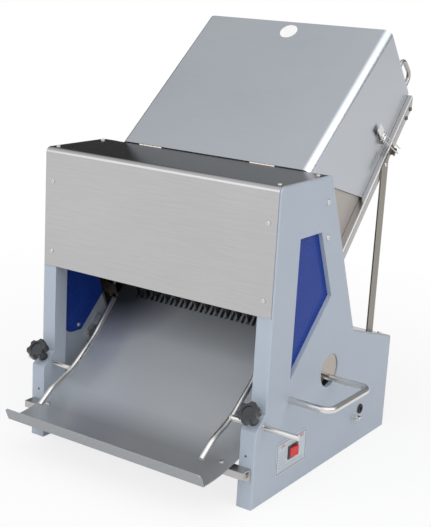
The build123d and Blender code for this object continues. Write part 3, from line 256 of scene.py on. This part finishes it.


# Painted shade, painted reflection and painted highlight: each share is the part of the colour that is left,
# each pair the values where it starts and ends
# Slide: painted shade and painted dark reflection on faces that look down, over the tray, along the comb and
# in the comb's left corner
lip_shade = 0.75
lip_facing = (-0.30, -0.05)
tray_shade = 0.54
tray_depth = (-0.272, -0.205)
comb_shade = 0.7
comb_height = (0.27, 0.19)
shade_corner = (-0.22, -0.003, 0.286)
corner_shade = 0.12
corner_shade_reach = (0.07, 0.17)
# Guide plates: painted shade on the faces that look into the machine
inside_shade = 0.2
inside_facing = (-0.05, 0.05)
# Hood: painted highlight on the bends, made by darkening the flats
highlight_flat_share = 0.6
flat_facing = (0.0, 0.20)


def slide_painted_shade(tree, colour):
    """Slide colour with painted shade and painted dark reflection: darker on faces that look down, towards
    the tray's lip, along the comb and in the comb's left corner.
    """
    geometry = tree.nodes.new("ShaderNodeNewGeometry")
    place = tree.nodes.new("ShaderNodeTexCoord")
    corner = tree.nodes.new("ShaderNodeVectorMath")
    corner.operation = "DISTANCE"
    tree.links.new(place.outputs["Object"], corner.inputs[0])
    corner.inputs[1].default_value = shade_corner
    facing = one_axis(tree, geometry.outputs["Normal"], "Z")
    depth = one_axis(tree, place.outputs["Object"], "Y")
    height = one_axis(tree, place.outputs["Object"], "Z")
    colour = painted_shading(tree, colour, facing, lip_shade, *lip_facing)
    colour = painted_shading(tree, colour, depth, tray_shade, *tray_depth)
    colour = painted_shading(tree, colour, height, comb_shade, *comb_height)
    return painted_shading(tree, colour, corner.outputs["Value"], corner_shade, *corner_shade_reach)


def guide_painted_shade(tree, colour):
    """Guide plate colour with painted shade: darker on the faces that look into the machine."""
    place = tree.nodes.new("ShaderNodeTexCoord")
    facing = one_axis(tree, place.outputs["Normal"], "X")
    outward = joined(tree, "MULTIPLY", facing, one_axis(tree, place.outputs["Object"], "X"))
    return painted_shading(tree, colour, outward, inside_shade, *inside_facing)


def lid_painted_highlight(tree, colour):
    """Hood colour with a painted highlight: bright on its bends, which face sideways and forwards at once,
    and darker on its flats.
    """
    place = tree.nodes.new("ShaderNodeTexCoord")
    sideways = one_axis(tree, place.outputs["Normal"], "X")
    bent = joined(tree, "MULTIPLY", sideways, one_axis(tree, place.outputs["Normal"], "Y"))
    return painted_shading(tree, colour, joined(tree, "ABSOLUTE", bent), highlight_flat_share, *flat_facing)


# Materials: cloud and grain are the scales of two noises, and a larger scale is finer
def surface(name, dark, light, metallic, rough, cloud, grain, grain_bump,
            stretch=evenly, cloud_share=0.5, edge_tint=1.0, specular=0.5, painted_light=None):
    """Material with cloudy colour, uneven gloss and a fine grain, and the painted light and shade that its
    given function adds.
    """
    material, tree, shader = new_material(name)
    clouds = noise(tree, cloud, cloud_detail)
    lines = noise(tree, grain, grain_detail, stretch)
    both = mixed(tree, lines, clouds, cloud_share)
    colour = ramp(tree, both, dark, light)
    if painted_light:
        colour = painted_light(tree, colour)
    tree.links.new(colour, shader.inputs["Base Color"])
    tree.links.new(spread(tree, both, *rough, *noise_middle), shader.inputs["Roughness"])
    shader.inputs["Metallic"].default_value = metallic
    shader.inputs["Specular Tint"].default_value = (edge_tint, edge_tint, edge_tint, 1.0)
    shader.inputs["Specular IOR Level"].default_value = specular
    bump(tree, shader, lines, grain_bump, grain_depth)
    return material


finishes = {
    "frame_paint": dict(dark=(0.36, 0.41, 0.48), light=(0.40, 0.45, 0.52), metallic=0.0,
                        rough=(0.34, 0.46), cloud=9.0, grain=420.0, grain_bump=0.06, cloud_share=0.6),
    "stainless": dict(dark=(0.44, 0.43, 0.42), light=(0.51, 0.50, 0.49), metallic=1.0,
                      rough=(0.26, 0.40), cloud=5.0, grain=900.0, grain_bump=0.08, stretch=along_x),
    # The hood's colours are those of the painted highlight on its bends; its flats are darkened from them
    "lid_steel": dict(dark=(0.79, 0.835, 0.90), light=(0.89, 0.935, 0.99), metallic=1.0,
                      rough=(0.26, 0.38), cloud=4.0, grain=900.0, grain_bump=0.06, stretch=along_x,
                      painted_light=lid_painted_highlight),
    "cover_steel": dict(dark=(0.47, 0.465, 0.47), light=(0.54, 0.535, 0.54), metallic=1.0,
                        rough=(0.14, 0.24), cloud=4.0, grain=900.0, grain_bump=0.06, stretch=along_x,
                        edge_tint=0.6),
    # Slide colour, darkened in places by painted shade and painted dark reflection
    "slide_steel": dict(dark=(0.725, 0.755, 0.79), light=(0.76, 0.79, 0.825), metallic=0.55,
                        rough=(0.23, 0.27), cloud=3.0, grain=800.0, grain_bump=0.01, stretch=along_x,
                        cloud_share=0.85, painted_light=slide_painted_shade),
    "strut_steel": dict(dark=(0.25, 0.23, 0.20), light=(0.31, 0.285, 0.25), metallic=0.8,
                        rough=(0.30, 0.44), cloud=9.0, grain=700.0, grain_bump=0.08),
    # Guide plates, with painted shade on their inner faces
    "guide_plate": dict(dark=(0.40, 0.36, 0.325), light=(0.47, 0.425, 0.385), metallic=1.0,
                        rough=(0.22, 0.34), cloud=12.0, grain=600.0, grain_bump=0.06, painted_light=guide_painted_shade),
    "feed_plate": dict(dark=(0.395, 0.365, 0.34), light=(0.475, 0.44, 0.41), metallic=0.8,
                       rough=(0.30, 0.44), cloud=9.0, grain=700.0, grain_bump=0.06),
    "hinge_steel": dict(dark=(0.74, 0.66, 0.60), light=(0.82, 0.74, 0.68), metallic=1.0,
                        rough=(0.20, 0.30), cloud=20.0, grain=700.0, grain_bump=0.04),
    "chrome": dict(dark=(0.76, 0.74, 0.72), light=(0.85, 0.83, 0.81), metallic=1.0,
                   rough=(0.14, 0.24), cloud=30.0, grain=700.0, grain_bump=0.03),
    "dark_plating": dict(dark=(0.13, 0.105, 0.095), light=(0.20, 0.165, 0.15), metallic=0.8,
                         rough=(0.34, 0.48), cloud=30.0, grain=600.0, grain_bump=0.08),
    "blue_panel": dict(dark=(0.010, 0.036, 0.225), light=(0.016, 0.050, 0.30), metallic=0.0,
                       rough=(0.22, 0.32), cloud=8.0, grain=600.0, grain_bump=0.02, specular=0.10),
    "bright_steel": dict(dark=(0.68, 0.665, 0.645), light=(0.77, 0.755, 0.735), metallic=1.0,
                         rough=(0.24, 0.36), cloud=20.0, grain=700.0, grain_bump=0.04),
    "black_plastic": dict(dark=(0.014, 0.016, 0.021), light=(0.028, 0.031, 0.039), metallic=0.0,
                          rough=(0.20, 0.32), cloud=30.0, grain=1500.0, grain_bump=0.06, specular=0.65),
    "red_plastic": dict(dark=(0.55, 0.014, 0.016), light=(0.66, 0.024, 0.024), metallic=0.0,
                        rough=(0.22, 0.32), cloud=60.0, grain=1500.0, grain_bump=0.03),
    "plated_steel": dict(dark=(0.42, 0.38, 0.32), light=(0.52, 0.475, 0.40), metallic=1.0,
                         rough=(0.32, 0.46), cloud=14.0, grain=600.0, grain_bump=0.06),
    "blade_steel": dict(dark=(0.22, 0.225, 0.23), light=(0.30, 0.305, 0.31), metallic=1.0,
                        rough=(0.22, 0.34), cloud=20.0, grain=900.0, grain_bump=0.05),
    "aluminium": dict(dark=(0.54, 0.55, 0.56), light=(0.62, 0.63, 0.64), metallic=1.0,
                      rough=(0.35, 0.48), cloud=20.0, grain=700.0, grain_bump=0.06),
    "cast_iron": dict(dark=(0.055, 0.065, 0.08), light=(0.095, 0.105, 0.12), metallic=0.0,
                      rough=(0.45, 0.6), cloud=25.0, grain=500.0, grain_bump=0.25),
    "belt_rubber": dict(dark=(0.012, 0.012, 0.012), light=(0.026, 0.026, 0.025), metallic=0.0,
                        rough=(0.7, 0.85), cloud=40.0, grain=800.0, grain_bump=0.15),
    "bronze": dict(dark=(0.40, 0.25, 0.10), light=(0.48, 0.31, 0.13), metallic=1.0,
                   rough=(0.3, 0.4), cloud=40.0, grain=700.0, grain_bump=0.04),
    "switch_plate": dict(dark=(0.46, 0.50, 0.55), light=(0.54, 0.58, 0.63), metallic=0.0,
                         rough=(0.3, 0.42), cloud=30.0, grain=900.0, grain_bump=0.03),
    "label_white": dict(dark=(0.74, 0.73, 0.72), light=(0.82, 0.81, 0.80), metallic=0.0,
                        rough=(0.28, 0.4), cloud=60.0, grain=1200.0, grain_bump=0.02),
    "mark_ink": dict(dark=(0.05, 0.055, 0.07), light=(0.09, 0.095, 0.11), metallic=0.0,
                     rough=(0.4, 0.55), cloud=80.0, grain=1500.0, grain_bump=0.02),
    "rule_ink": dict(dark=(0.22, 0.24, 0.28), light=(0.30, 0.32, 0.36), metallic=0.0,
                     rough=(0.4, 0.55), cloud=80.0, grain=1500.0, grain_bump=0.02),
    "mark_red": dict(dark=(0.48, 0.05, 0.06), light=(0.58, 0.08, 0.085), metallic=0.0,
                     rough=(0.4, 0.55), cloud=80.0, grain=1500.0, grain_bump=0.02),
}
materials = {name: surface(name, **finish) for name, finish in finishes.items()}

# Nodes that look different from the rest of their slot
node_material = {
    "hood": "lid_steel",
    "hinge_moving_leaves": "hinge_steel",
    "hinge_fixed_leaves": "hinge_steel",
    "right_latch_lever": "bright_steel",
    "left_latch_lever": "bright_steel",
    "right_latch_bail": "chrome",
    "left_latch_bail": "chrome",
    "latch_keepers": "dark_plating",
    "cable_grommet": "belt_rubber",
    "earth_terminal": "chrome",
    "front_blade_bars": "cast_iron",
    "rear_blade_bars": "cast_iron",
    "front_cover": "cover_steel",
    "rear_cover": "cover_steel",
    "discharge_slide": "slide_steel",
    "slide_rest_bar": "slide_steel",
    "struts": "strut_steel",
    "inner_feed_plates": "feed_plate",
    "lower_guide_plates": "guide_plate",
}
node_slot = {entry["node"]: entry["material_slot"] for entry in frame["record"]["subparts"]}
for node_name, node in frame["nodes"].items():
    node.data.materials.clear()
    node.data.materials.append(materials[node_material.get(node_name, node_slot[node_name])])


# Mesh helpers: shapes are made in metres, from sizes in millimetres
def at(x, y, z):
    """Point of the CAD model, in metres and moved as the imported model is."""
    return Vector((x, y + frame_move, z)) * mm


def axes_along(out, side=None):
    """Turn whose third column is the outward direction."""
    out = Vector(out).normalized()
    if side is None:
        side = (0, 0, 1) if abs(out.z) < along_axis else (1, 0, 0)
    second = out.cross(Vector(side)).normalized()
    first = second.cross(out)
    return Matrix((first, second, out)).transposed()


def add_piece(name, mesh, material, body, sharp=35.0):
    """Piece with smooth faces and sharp edges, which rides on a body."""
    mesh.materials.append(materials[material])
    mesh.polygons.foreach_set("use_smooth", [True] * len(mesh.polygons))
    mesh.set_sharp_from_angle(angle=math.radians(sharp))
    piece = bpy.data.objects.new(name, mesh)
    scene.collection.objects.link(piece)
    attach(piece, body)
    return piece


def mesh_of(name, shape):
    """Mesh of a finished shape, with its faces turned outwards."""
    bmesh.ops.recalc_face_normals(shape, faces=shape.faces)
    mesh = bpy.data.meshes.new(name)
    shape.to_mesh(mesh)
    shape.free()
    return mesh


def rings_at(shape, rings, place, turn):
    """Corners of rings of (x, y) points at given heights, set at a place."""
    return [[shape.verts.new(place + turn @ (Vector((x, y, height)) * mm)) for x, y in points]
            for points, height in rings]


def skin(shape, loops):
    """Faces from each ring of corners to the next."""
    count = len(loops[0])
    for low, high in zip(loops, loops[1:]):
        for i in range(count):
            j = (i + 1) % count
            shape.faces.new((low[i], low[j], high[j], high[i]))


def stack(shape, rings, place, turn):
    """Skin over rings, closed at both ends."""
    loops = rings_at(shape, rings, place, turn)
    skin(shape, loops)
    shape.faces.new(list(reversed(loops[0])))
    shape.faces.new(loops[-1])


def hoop(shape, rings, place, turn):
    """Skin over rings, from the last one back to the first."""
    loops = rings_at(shape, rings, place, turn)
    skin(shape, loops + loops[:1])


def circle(radius, angles):
    """Points of a circle at given angles."""
    return [(radius * math.cos(a), radius * math.sin(a)) for a in angles]


def even_angles(count):
    """Angles evenly round a circle."""
    return [2 * math.pi * i / count for i in range(count)]


def hexagon(apothem, angles):
    """Points of a hexagon at given angles."""
    points = []
    for a in angles:
        off = (a + math.pi / 6) % (math.pi / 3) - math.pi / 6
        radius = apothem / math.cos(off)
        points.append((radius * math.cos(a), radius * math.sin(a)))
    return points


def cross_angles(half_width, length):
    """Angles that meet every corner of a cross recess, with some between."""
    tip = math.atan2(half_width, length)
    quarter = math.pi / 4
    steps = [tip + (quarter - tip) * share for share in recess_corner_steps]
    octant = [0.0] + steps + [quarter]
    quadrant = octant + [math.pi / 2 - a for a in reversed(steps)]
    return [a + k * math.pi / 2 for k in range(4) for a in quadrant]


def cross(half_width, length, angles):
    """Points of a cross at given angles."""
    points = []
    for a in angles:
        c, s = abs(math.cos(a)), abs(math.sin(a))
        big, small = max(c, s), min(c, s)
        radius = min(length / big, half_width / max(small, smallest_sine))
        points.append((radius * math.cos(a), radius * math.sin(a)))
    return points


def tube(shape, points, radius):
    """Closed round bead along a loop of points, both in millimetres of the CAD model."""
    count = len(points)
    loops = []
    for i, point in enumerate(points):
        ahead = (points[(i + 1) % count] - points[i - 1]).normalized()
        turn = axes_along(ahead, (1, 0, 0) if abs(ahead.x) < along_axis else (0, 0, 1))
        ring = [turn @ Vector((*p, 0.0)) for p in circle(radius, even_angles(bead_sides))]
        loops.append([shape.verts.new(at(*(point + offset))) for offset in ring])
    skin(shape, loops + loops[:1])


# Solids of a CAD node, read from its mesh
def node_solids(node_name):
    """Points of each separate solid in a node, in metres."""
    mesh = frame["nodes"][node_name].data
    points = np.empty(len(mesh.vertices) * 3)
    mesh.vertices.foreach_get("co", points)
    points = points.reshape(-1, 3)
    keys = np.round(points / same_point).astype(np.int64)
    kept, first, same = np.unique(keys, axis=0, return_index=True, return_inverse=True)
    edges = np.empty(len(mesh.edges) * 2, dtype=np.int32)
    mesh.edges.foreach_get("vertices", edges)
    edges = same.reshape(-1)[edges.reshape(-1, 2)]
    label = joined_labels(len(kept), edges)
    return [points[first][label == value] for value in np.unique(label)]


def joined_labels(count, edges):
    """One number for each point, the same for all points that edges join."""
    label = np.arange(count)
    while True:
        lowest = label.copy()
        np.minimum.at(lowest, edges[:, 0], label[edges[:, 1]])
        np.minimum.at(lowest, edges[:, 1], label[edges[:, 0]])
        lowest = lowest[lowest]
        if (lowest == label).all():
            return label
        label = lowest


def main_axes(points):
    """Spreads and directions of a cloud of points, smallest spread first."""
    return np.linalg.eigh(np.cov((points - points.mean(axis=0)).T))


def screw_sizes(points):
    """Seat and outward direction of one screw, then its head's and shank's radius and length, in metres."""
    spreads, directions = main_axes(points)
    gaps = [abs(spreads[(i + 1) % 3] - spreads[(i + 2) % 3]) for i in range(3)]
    axis = directions[:, int(np.argmin(gaps))]
    along = points @ axis
    corners = points - np.outer(along, axis)
    middle = (corners.max(axis=0) + corners.min(axis=0)) / 2
    radius = np.linalg.norm(corners - middle, axis=1)
    head_radius = radius.max()
    rim = along[radius > rim_share * head_radius]
    if rim.mean() < (along.max() + along.min()) / 2:
        axis, along, rim = -axis, -along, -rim
    seat = rim.min()
    shank_radius = radius[along < along.min() + same_end].max()
    sizes = (head_radius, along.max() - seat, shank_radius, seat - along.min())
    return Vector(middle + axis * seat), Vector(axis), sizes


def screw_rings(head, height, shank, length, angles):
    """Rings of a pan-head screw from its tip to the floor of its cross recess, in millimetres."""
    side = height * (1 - crown_share)
    rings = [(circle(shank * tip_radius, angles), -length),
             (circle(shank, angles), tip_length * shank - length),
             (circle(shank, angles), 0.0),
             (circle(head, angles), 0.0),
             (circle(head, angles), side)]
    for share in crown_steps:
        turn = share * math.pi / 2
        radius = head * (1 - crown_share * (1 - math.cos(turn)))
        rings.append((circle(radius, angles), side + height * crown_share * math.sin(turn)))
    half, reach = head * recess_half_width, head * recess_length
    floor_half, floor_reach = half * recess_floor[0], reach * recess_floor[1]
    rings.append((cross(half, reach, angles), height))
    rings.append((cross(floor_half, floor_reach, angles), height * (1 - recess_depth)))
    return rings


def screw_piece(name, node_name, body):
    """Cross-recess screws in place of a node's plain ones; those high on the rails are dark."""
    shape = bmesh.new()
    dark = []
    angles = cross_angles(recess_half_width, recess_length)
    for points in node_solids(node_name):
        seat, out, sizes = screw_sizes(points)
        made = len(shape.faces)
        stack(shape, screw_rings(*(size / mm for size in sizes), angles), seat, axes_along(out))
        is_dark = abs(out.x) > along_axis and seat.z > dark_screw_height * mm
        dark += [int(is_dark)] * (len(shape.faces) - made)
    mesh = mesh_of(name, shape)
    piece = add_piece(name, mesh, node_slot[node_name], body)
    mesh.materials.append(materials["dark_plating"])
    mesh.polygons.foreach_set("material_index", dark)
    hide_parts(node_name)


def blade_rings(points):
    """Corners of a blade's sections from its lower end to its upper end, in metres."""
    directions = main_axes(points)[1]
    thick, wide, tall = (Vector(directions[:, i]) for i in range(3))
    wide = wide if wide.y > 0 else -wide
    tall = tall if tall.z > 0 else -tall
    middle = (points.max(axis=0) + points.min(axis=0)) / 2
    half = [np.abs((points - middle) @ np.array(v)).max() for v in (thick, wide, tall)]
    ground = half[1] - edge_bevel * mm
    tip = half[0] * edge_share
    steps = int(2 * half[2] / (blade_section_height * mm))
    rings = []
    for step in range(steps + 1):
        up = -half[2] + 2 * half[2] * step / steps
        wave = 0.5 - 0.5 * math.cos(2 * math.pi * up / (tooth_pitch * mm))
        edge = half[1] - tooth_depth * mm * wave
        section = ((-half[0], -half[1]), (half[0], -half[1]), (half[0], ground),
                   (tip, edge), (-tip, edge), (-half[0], ground))
        rings.append([Vector(middle) + thick * a + wide * b + tall * up for a, b in section])
    return rings


def blade_piece(name, node_name, body):
    """Blades with a ground, waved cutting edge towards the bread, in place of a node's plain strips."""
    shape = bmesh.new()
    for points in node_solids(node_name):
        loops = [[shape.verts.new(corner) for corner in ring] for ring in blade_rings(points)]
        skin(shape, loops)
        shape.faces.new(loops[0])
        shape.faces.new(loops[-1])
    piece = add_piece(name, mesh_of(name, shape), "blade_steel", body, sharp=blade_sharp_angle)
    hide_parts(node_name)


# Small pieces
def make_set_screws():
    """Socket screws in the fronts of the legs."""
    shape = bmesh.new()
    angles = even_angles(set_screw_sides)
    radius = set_screw_radius
    rings = [(circle(radius, angles), 0.0),
             (circle(radius, angles), set_screw_rim),
             (circle(radius * set_screw_top, angles), set_screw_height),
             (hexagon(radius * socket_mouth, angles), set_screw_height),
             (hexagon(radius * socket_floor, angles), socket_floor_height)]
    for x, z in set_screw_places:
        stack(shape, rings, at(x, leg_front, z), axes_along((0, -1, 0)))
    add_piece("leg_set_screws", mesh_of("leg_set_screws", shape), "cast_iron", "base")


def make_collars():
    """Bushes round the guides' cross rods on the outer faces of the frames."""
    shape = bmesh.new()
    angles = even_angles(collar_sides)
    bore = cross_rod_radius + collar_clearance
    rings = [(circle(collar_radius, angles), 0.0),
             (circle(collar_radius, angles), collar_thickness - collar_edge),
             (circle(collar_radius - collar_edge, angles), collar_thickness),
             (circle(bore + collar_bore_edge, angles), collar_thickness),
             (circle(bore, angles), collar_thickness - collar_bore_edge),
             (circle(bore, angles), 0.0)]
    for side in (-1, 1):
        hoop(shape, rings, at(side * frame_face, *cross_rod), axes_along((side, 0, 0)))
    mesh = mesh_of("cross_rod_collars", shape)
    add_piece("cross_rod_collars", mesh, "bright_steel", "base")


def make_weld_bead(body, guide_x, side):
    """Bead where a guide's cross rod meets its bar, on the side that the rod leaves."""
    name = body + "_weld"
    slope = Vector(guide_bar_direction).normalized()
    across_bar = slope.cross(Vector((1, 0, 0)))
    points = []
    for a in even_angles(bead_steps):
        reach = cross_rod_radius * math.sqrt(math.cos(a) ** 2 + bead_flatness)
        offset = slope * (cross_rod_radius * math.cos(a)) + across_bar * (cross_rod_radius * math.sin(a))
        points.append(Vector((guide_x + side * reach, *cross_rod)) + offset)
    shape = bmesh.new()
    tube(shape, points, bead_radius)
    add_piece(name, mesh_of(name, shape), "bright_steel", body)


def make_lid_label():
    """Plain round disc on the lid."""
    slope = math.radians(lid_slope)
    up = Vector((0, math.cos(slope), math.sin(slope)))
    out = Vector((0, -math.sin(slope), math.cos(slope)))
    x, along = label_place
    place = Vector((x, *lid_foot)) + up * along + out * lid_rise
    angles = even_angles(label_sides)
    shape = bmesh.new()
    rings = [(circle(label_radius, angles), 0.0),
             (circle(label_radius, angles), label_edge),
             (circle(label_radius - label_edge, angles), label_thickness),
             (circle(label_radius * label_flat, angles), label_thickness)]
    stack(shape, rings, at(*place), axes_along(out, (1, 0, 0)))
    add_piece("lid_disc", mesh_of("lid_disc", shape), "label_white", "hood")


def plate_corners(inset):
    """Corners of the switch plate, drawn in by an inset."""
    a, b = plate_size[0] / 2 - inset, plate_size[1] / 2 - inset
    return (-a, -b), (a, -b), (a, b), (-a, b)


def make_plate_border():
    """Printed line round the switch plate."""
    shape = bmesh.new()
    outer, inner = plate_corners(border_inset), plate_corners(border_inset + border_width)
    rings = [(outer, 0.0), (outer, mark_thickness), (inner, mark_thickness), (inner, 0.0)]
    hoop(shape, rings, at(plate_face, *plate_centre), axes_along((1, 0, 0), (0, 1, 0)))
    add_piece("plate_border", mesh_of("plate_border", shape), "mark_ink", "base")


def make_plate_rules():
    """Blank printed rules on the switch plate."""
    shape = bmesh.new()
    turn = axes_along((1, 0, 0), (0, 1, 0))
    half = rule_width / 2
    for (start, end), heights in (long_rules, short_rules):
        for z in heights:
            corners = ((0.0, -half), (end - start, -half), (end - start, half), (0.0, half))
            stack(shape, [(corners, 0.0), (corners, mark_thickness)], at(plate_face, start, z), turn)
    add_piece("plate_rules", mesh_of("plate_rules", shape), "rule_ink", "base")


def make_words():
    """ON and OFF beside the rocker."""
    turn = Matrix(((0, 0, 1), (1, 0, 0), (0, 1, 0))).to_4x4()
    for word, (y, z) in word_places.items():
        text = bpy.data.curves.new("word_" + word, "FONT")
        text.body = word
        text.size = word_size * mm
        text.extrude = mark_thickness * mm / 2
        text.materials.append(materials["mark_red"])
        piece = bpy.data.objects.new("word_" + word, text)
        piece.matrix_world = Matrix.Translation(at(plate_face + mark_thickness / 2, y, z)) @ turn
        scene.collection.objects.link(piece)
        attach(piece, "base")


# Floor, backdrop and light, in metres and watts
floor_half = 300.0
floor_drop = 0.0005
floor_colour = (0.86, 0.86, 0.86, 1.0)
floor_roughness = 0.9
floor_shadow = (0.55, 1.6)
floor_near_white = 0.8
world_colour = (0.98, 0.99, 1.0, 1.0)
world_direction = (0.20, -0.55, 0.81)
world_levels = (0.05, 1.12)
world_facing = (-0.25, 0.95)
backdrop_top = (0.01, 0.07)
lamps = {
    "key": dict(place=(0.6, -2.4, 2.4), target=(0.0, 0.0, 0.3), size=4.0, power=50.0, in_gloss=False),
    "side": dict(place=(2.6, 0.2, 2.0), target=(0.0, 0.0, 0.5), size=1.6, power=12.0),
    "lid_card": dict(place=(1.54, -0.87, 2.65), target=(0.2, 0.1, 0.65), size=2.6, power=10.0, on_matt=False),
    "front_card": dict(place=(-1.3, -2.0, 1.41), target=(0.0, -0.2, 0.5), size=1.4, power=5.0, on_matt=False),
}


def area_light(name, place, target, size, power, on_matt=True, in_gloss=True):
    """Soft lamp, which may light only matt surfaces or show only as a white card in glossy ones."""
    data = bpy.data.lights.new(name, "AREA")
    data.size = size
    data.energy = power
    light = bpy.data.objects.new(name, data)
    light.location = place
    light.rotation_euler = (Vector(target) - Vector(place)).to_track_quat("-Z", "Y").to_euler()
    light.visible_camera = False
    light.visible_diffuse = on_matt
    light.visible_glossy = in_gloss
    scene.collection.objects.link(light)


def seen_share(tree, share):
    """Share that counts for what is looked at, straight or in metal or glass, not for the light it gives."""
    path = tree.nodes.new("ShaderNodeLightPath")
    seen = path.outputs["Is Camera Ray"]
    for kind in ("Is Glossy Ray", "Is Transmission Ray"):
        seen = joined(tree, "MAXIMUM", seen, path.outputs[kind])
    return joined(tree, "MULTIPLY", seen, share)


def floor_material():
    """Matt white that keeps the shadow near the object and goes to plain white further off."""
    material, tree, shader = new_material("floor_white")
    shader.inputs["Base Color"].default_value = floor_colour
    shader.inputs["Roughness"].default_value = floor_roughness
    place = tree.nodes.new("ShaderNodeTexCoord")
    distance = tree.nodes.new("ShaderNodeVectorMath")
    distance.operation = "LENGTH"
    tree.links.new(place.outputs["Object"], distance.inputs[0])
    share = spread(tree, distance.outputs["Value"], floor_near_white, 1.0, *floor_shadow)
    white = tree.nodes.new("ShaderNodeEmission")
    mix = tree.nodes.new("ShaderNodeMixShader")
    tree.links.new(seen_share(tree, share), mix.inputs["Fac"])
    tree.links.new(shader.outputs["BSDF"], mix.inputs[1])
    tree.links.new(white.outputs["Emission"], mix.inputs[2])
    tree.links.new(mix.outputs["Shader"], tree.nodes["Material Output"].inputs["Surface"])
    return material


def make_world():
    """Soft light, brightest above and in front, dimmer behind, over a white backdrop along the horizon."""
    world = bpy.data.worlds.new("studio")
    scene.world = world
    world.use_nodes = True
    tree = world.node_tree
    place = tree.nodes.new("ShaderNodeTexCoord")
    facing = tree.nodes.new("ShaderNodeVectorMath")
    facing.operation = "DOT_PRODUCT"
    facing.inputs[1].default_value = world_direction
    tree.links.new(place.outputs["Generated"], facing.inputs[0])
    level = spread(tree, facing.outputs["Value"], *world_levels, *world_facing)
    height = one_axis(tree, place.outputs["Generated"], "Z")
    low = spread(tree, height, 1.0, 0.0, *backdrop_top)
    backdrop = tree.nodes.new("ShaderNodeMix")
    backdrop.data_type = "FLOAT"
    backdrop.inputs["B"].default_value = 1.0
    tree.links.new(seen_share(tree, low), backdrop.inputs["Factor"])
    tree.links.new(level, backdrop.inputs["A"])
    background = tree.nodes["Background"]
    background.inputs["Color"].default_value = world_colour
    tree.links.new(backdrop.outputs["Result"], background.inputs["Strength"])


def make_floor():
    """Wide floor, a little below the feet."""
    mesh = bpy.data.meshes.new("floor")
    half = floor_half
    corners = [(-half, -half, 0), (half, -half, 0), (half, half, 0), (-half, half, 0)]
    mesh.from_pydata(corners, [], [(0, 1, 2, 3)])
    mesh.materials.append(floor_material())
    floor = bpy.data.objects.new("floor", mesh)
    floor.location.z = -floor_drop
    scene.collection.objects.link(floor)


make_camera()
screw_piece("small_screw_heads", "small_screws", "base")
screw_piece("side_screw_heads", "side_screws", "base")
blade_piece("front_toothed_blades", "front_blades", "front_blade_frame")
blade_piece("rear_toothed_blades", "rear_blades", "rear_blade_frame")
make_set_screws()
make_collars()
for body, (guide_x, side) in guide_bars.items():
    make_weld_bead(body, guide_x, side)
make_lid_label()
make_plate_border()
make_plate_rules()
make_words()
make_floor()
make_world()
for name, lamp in lamps.items():
    area_light(name, **lamp)
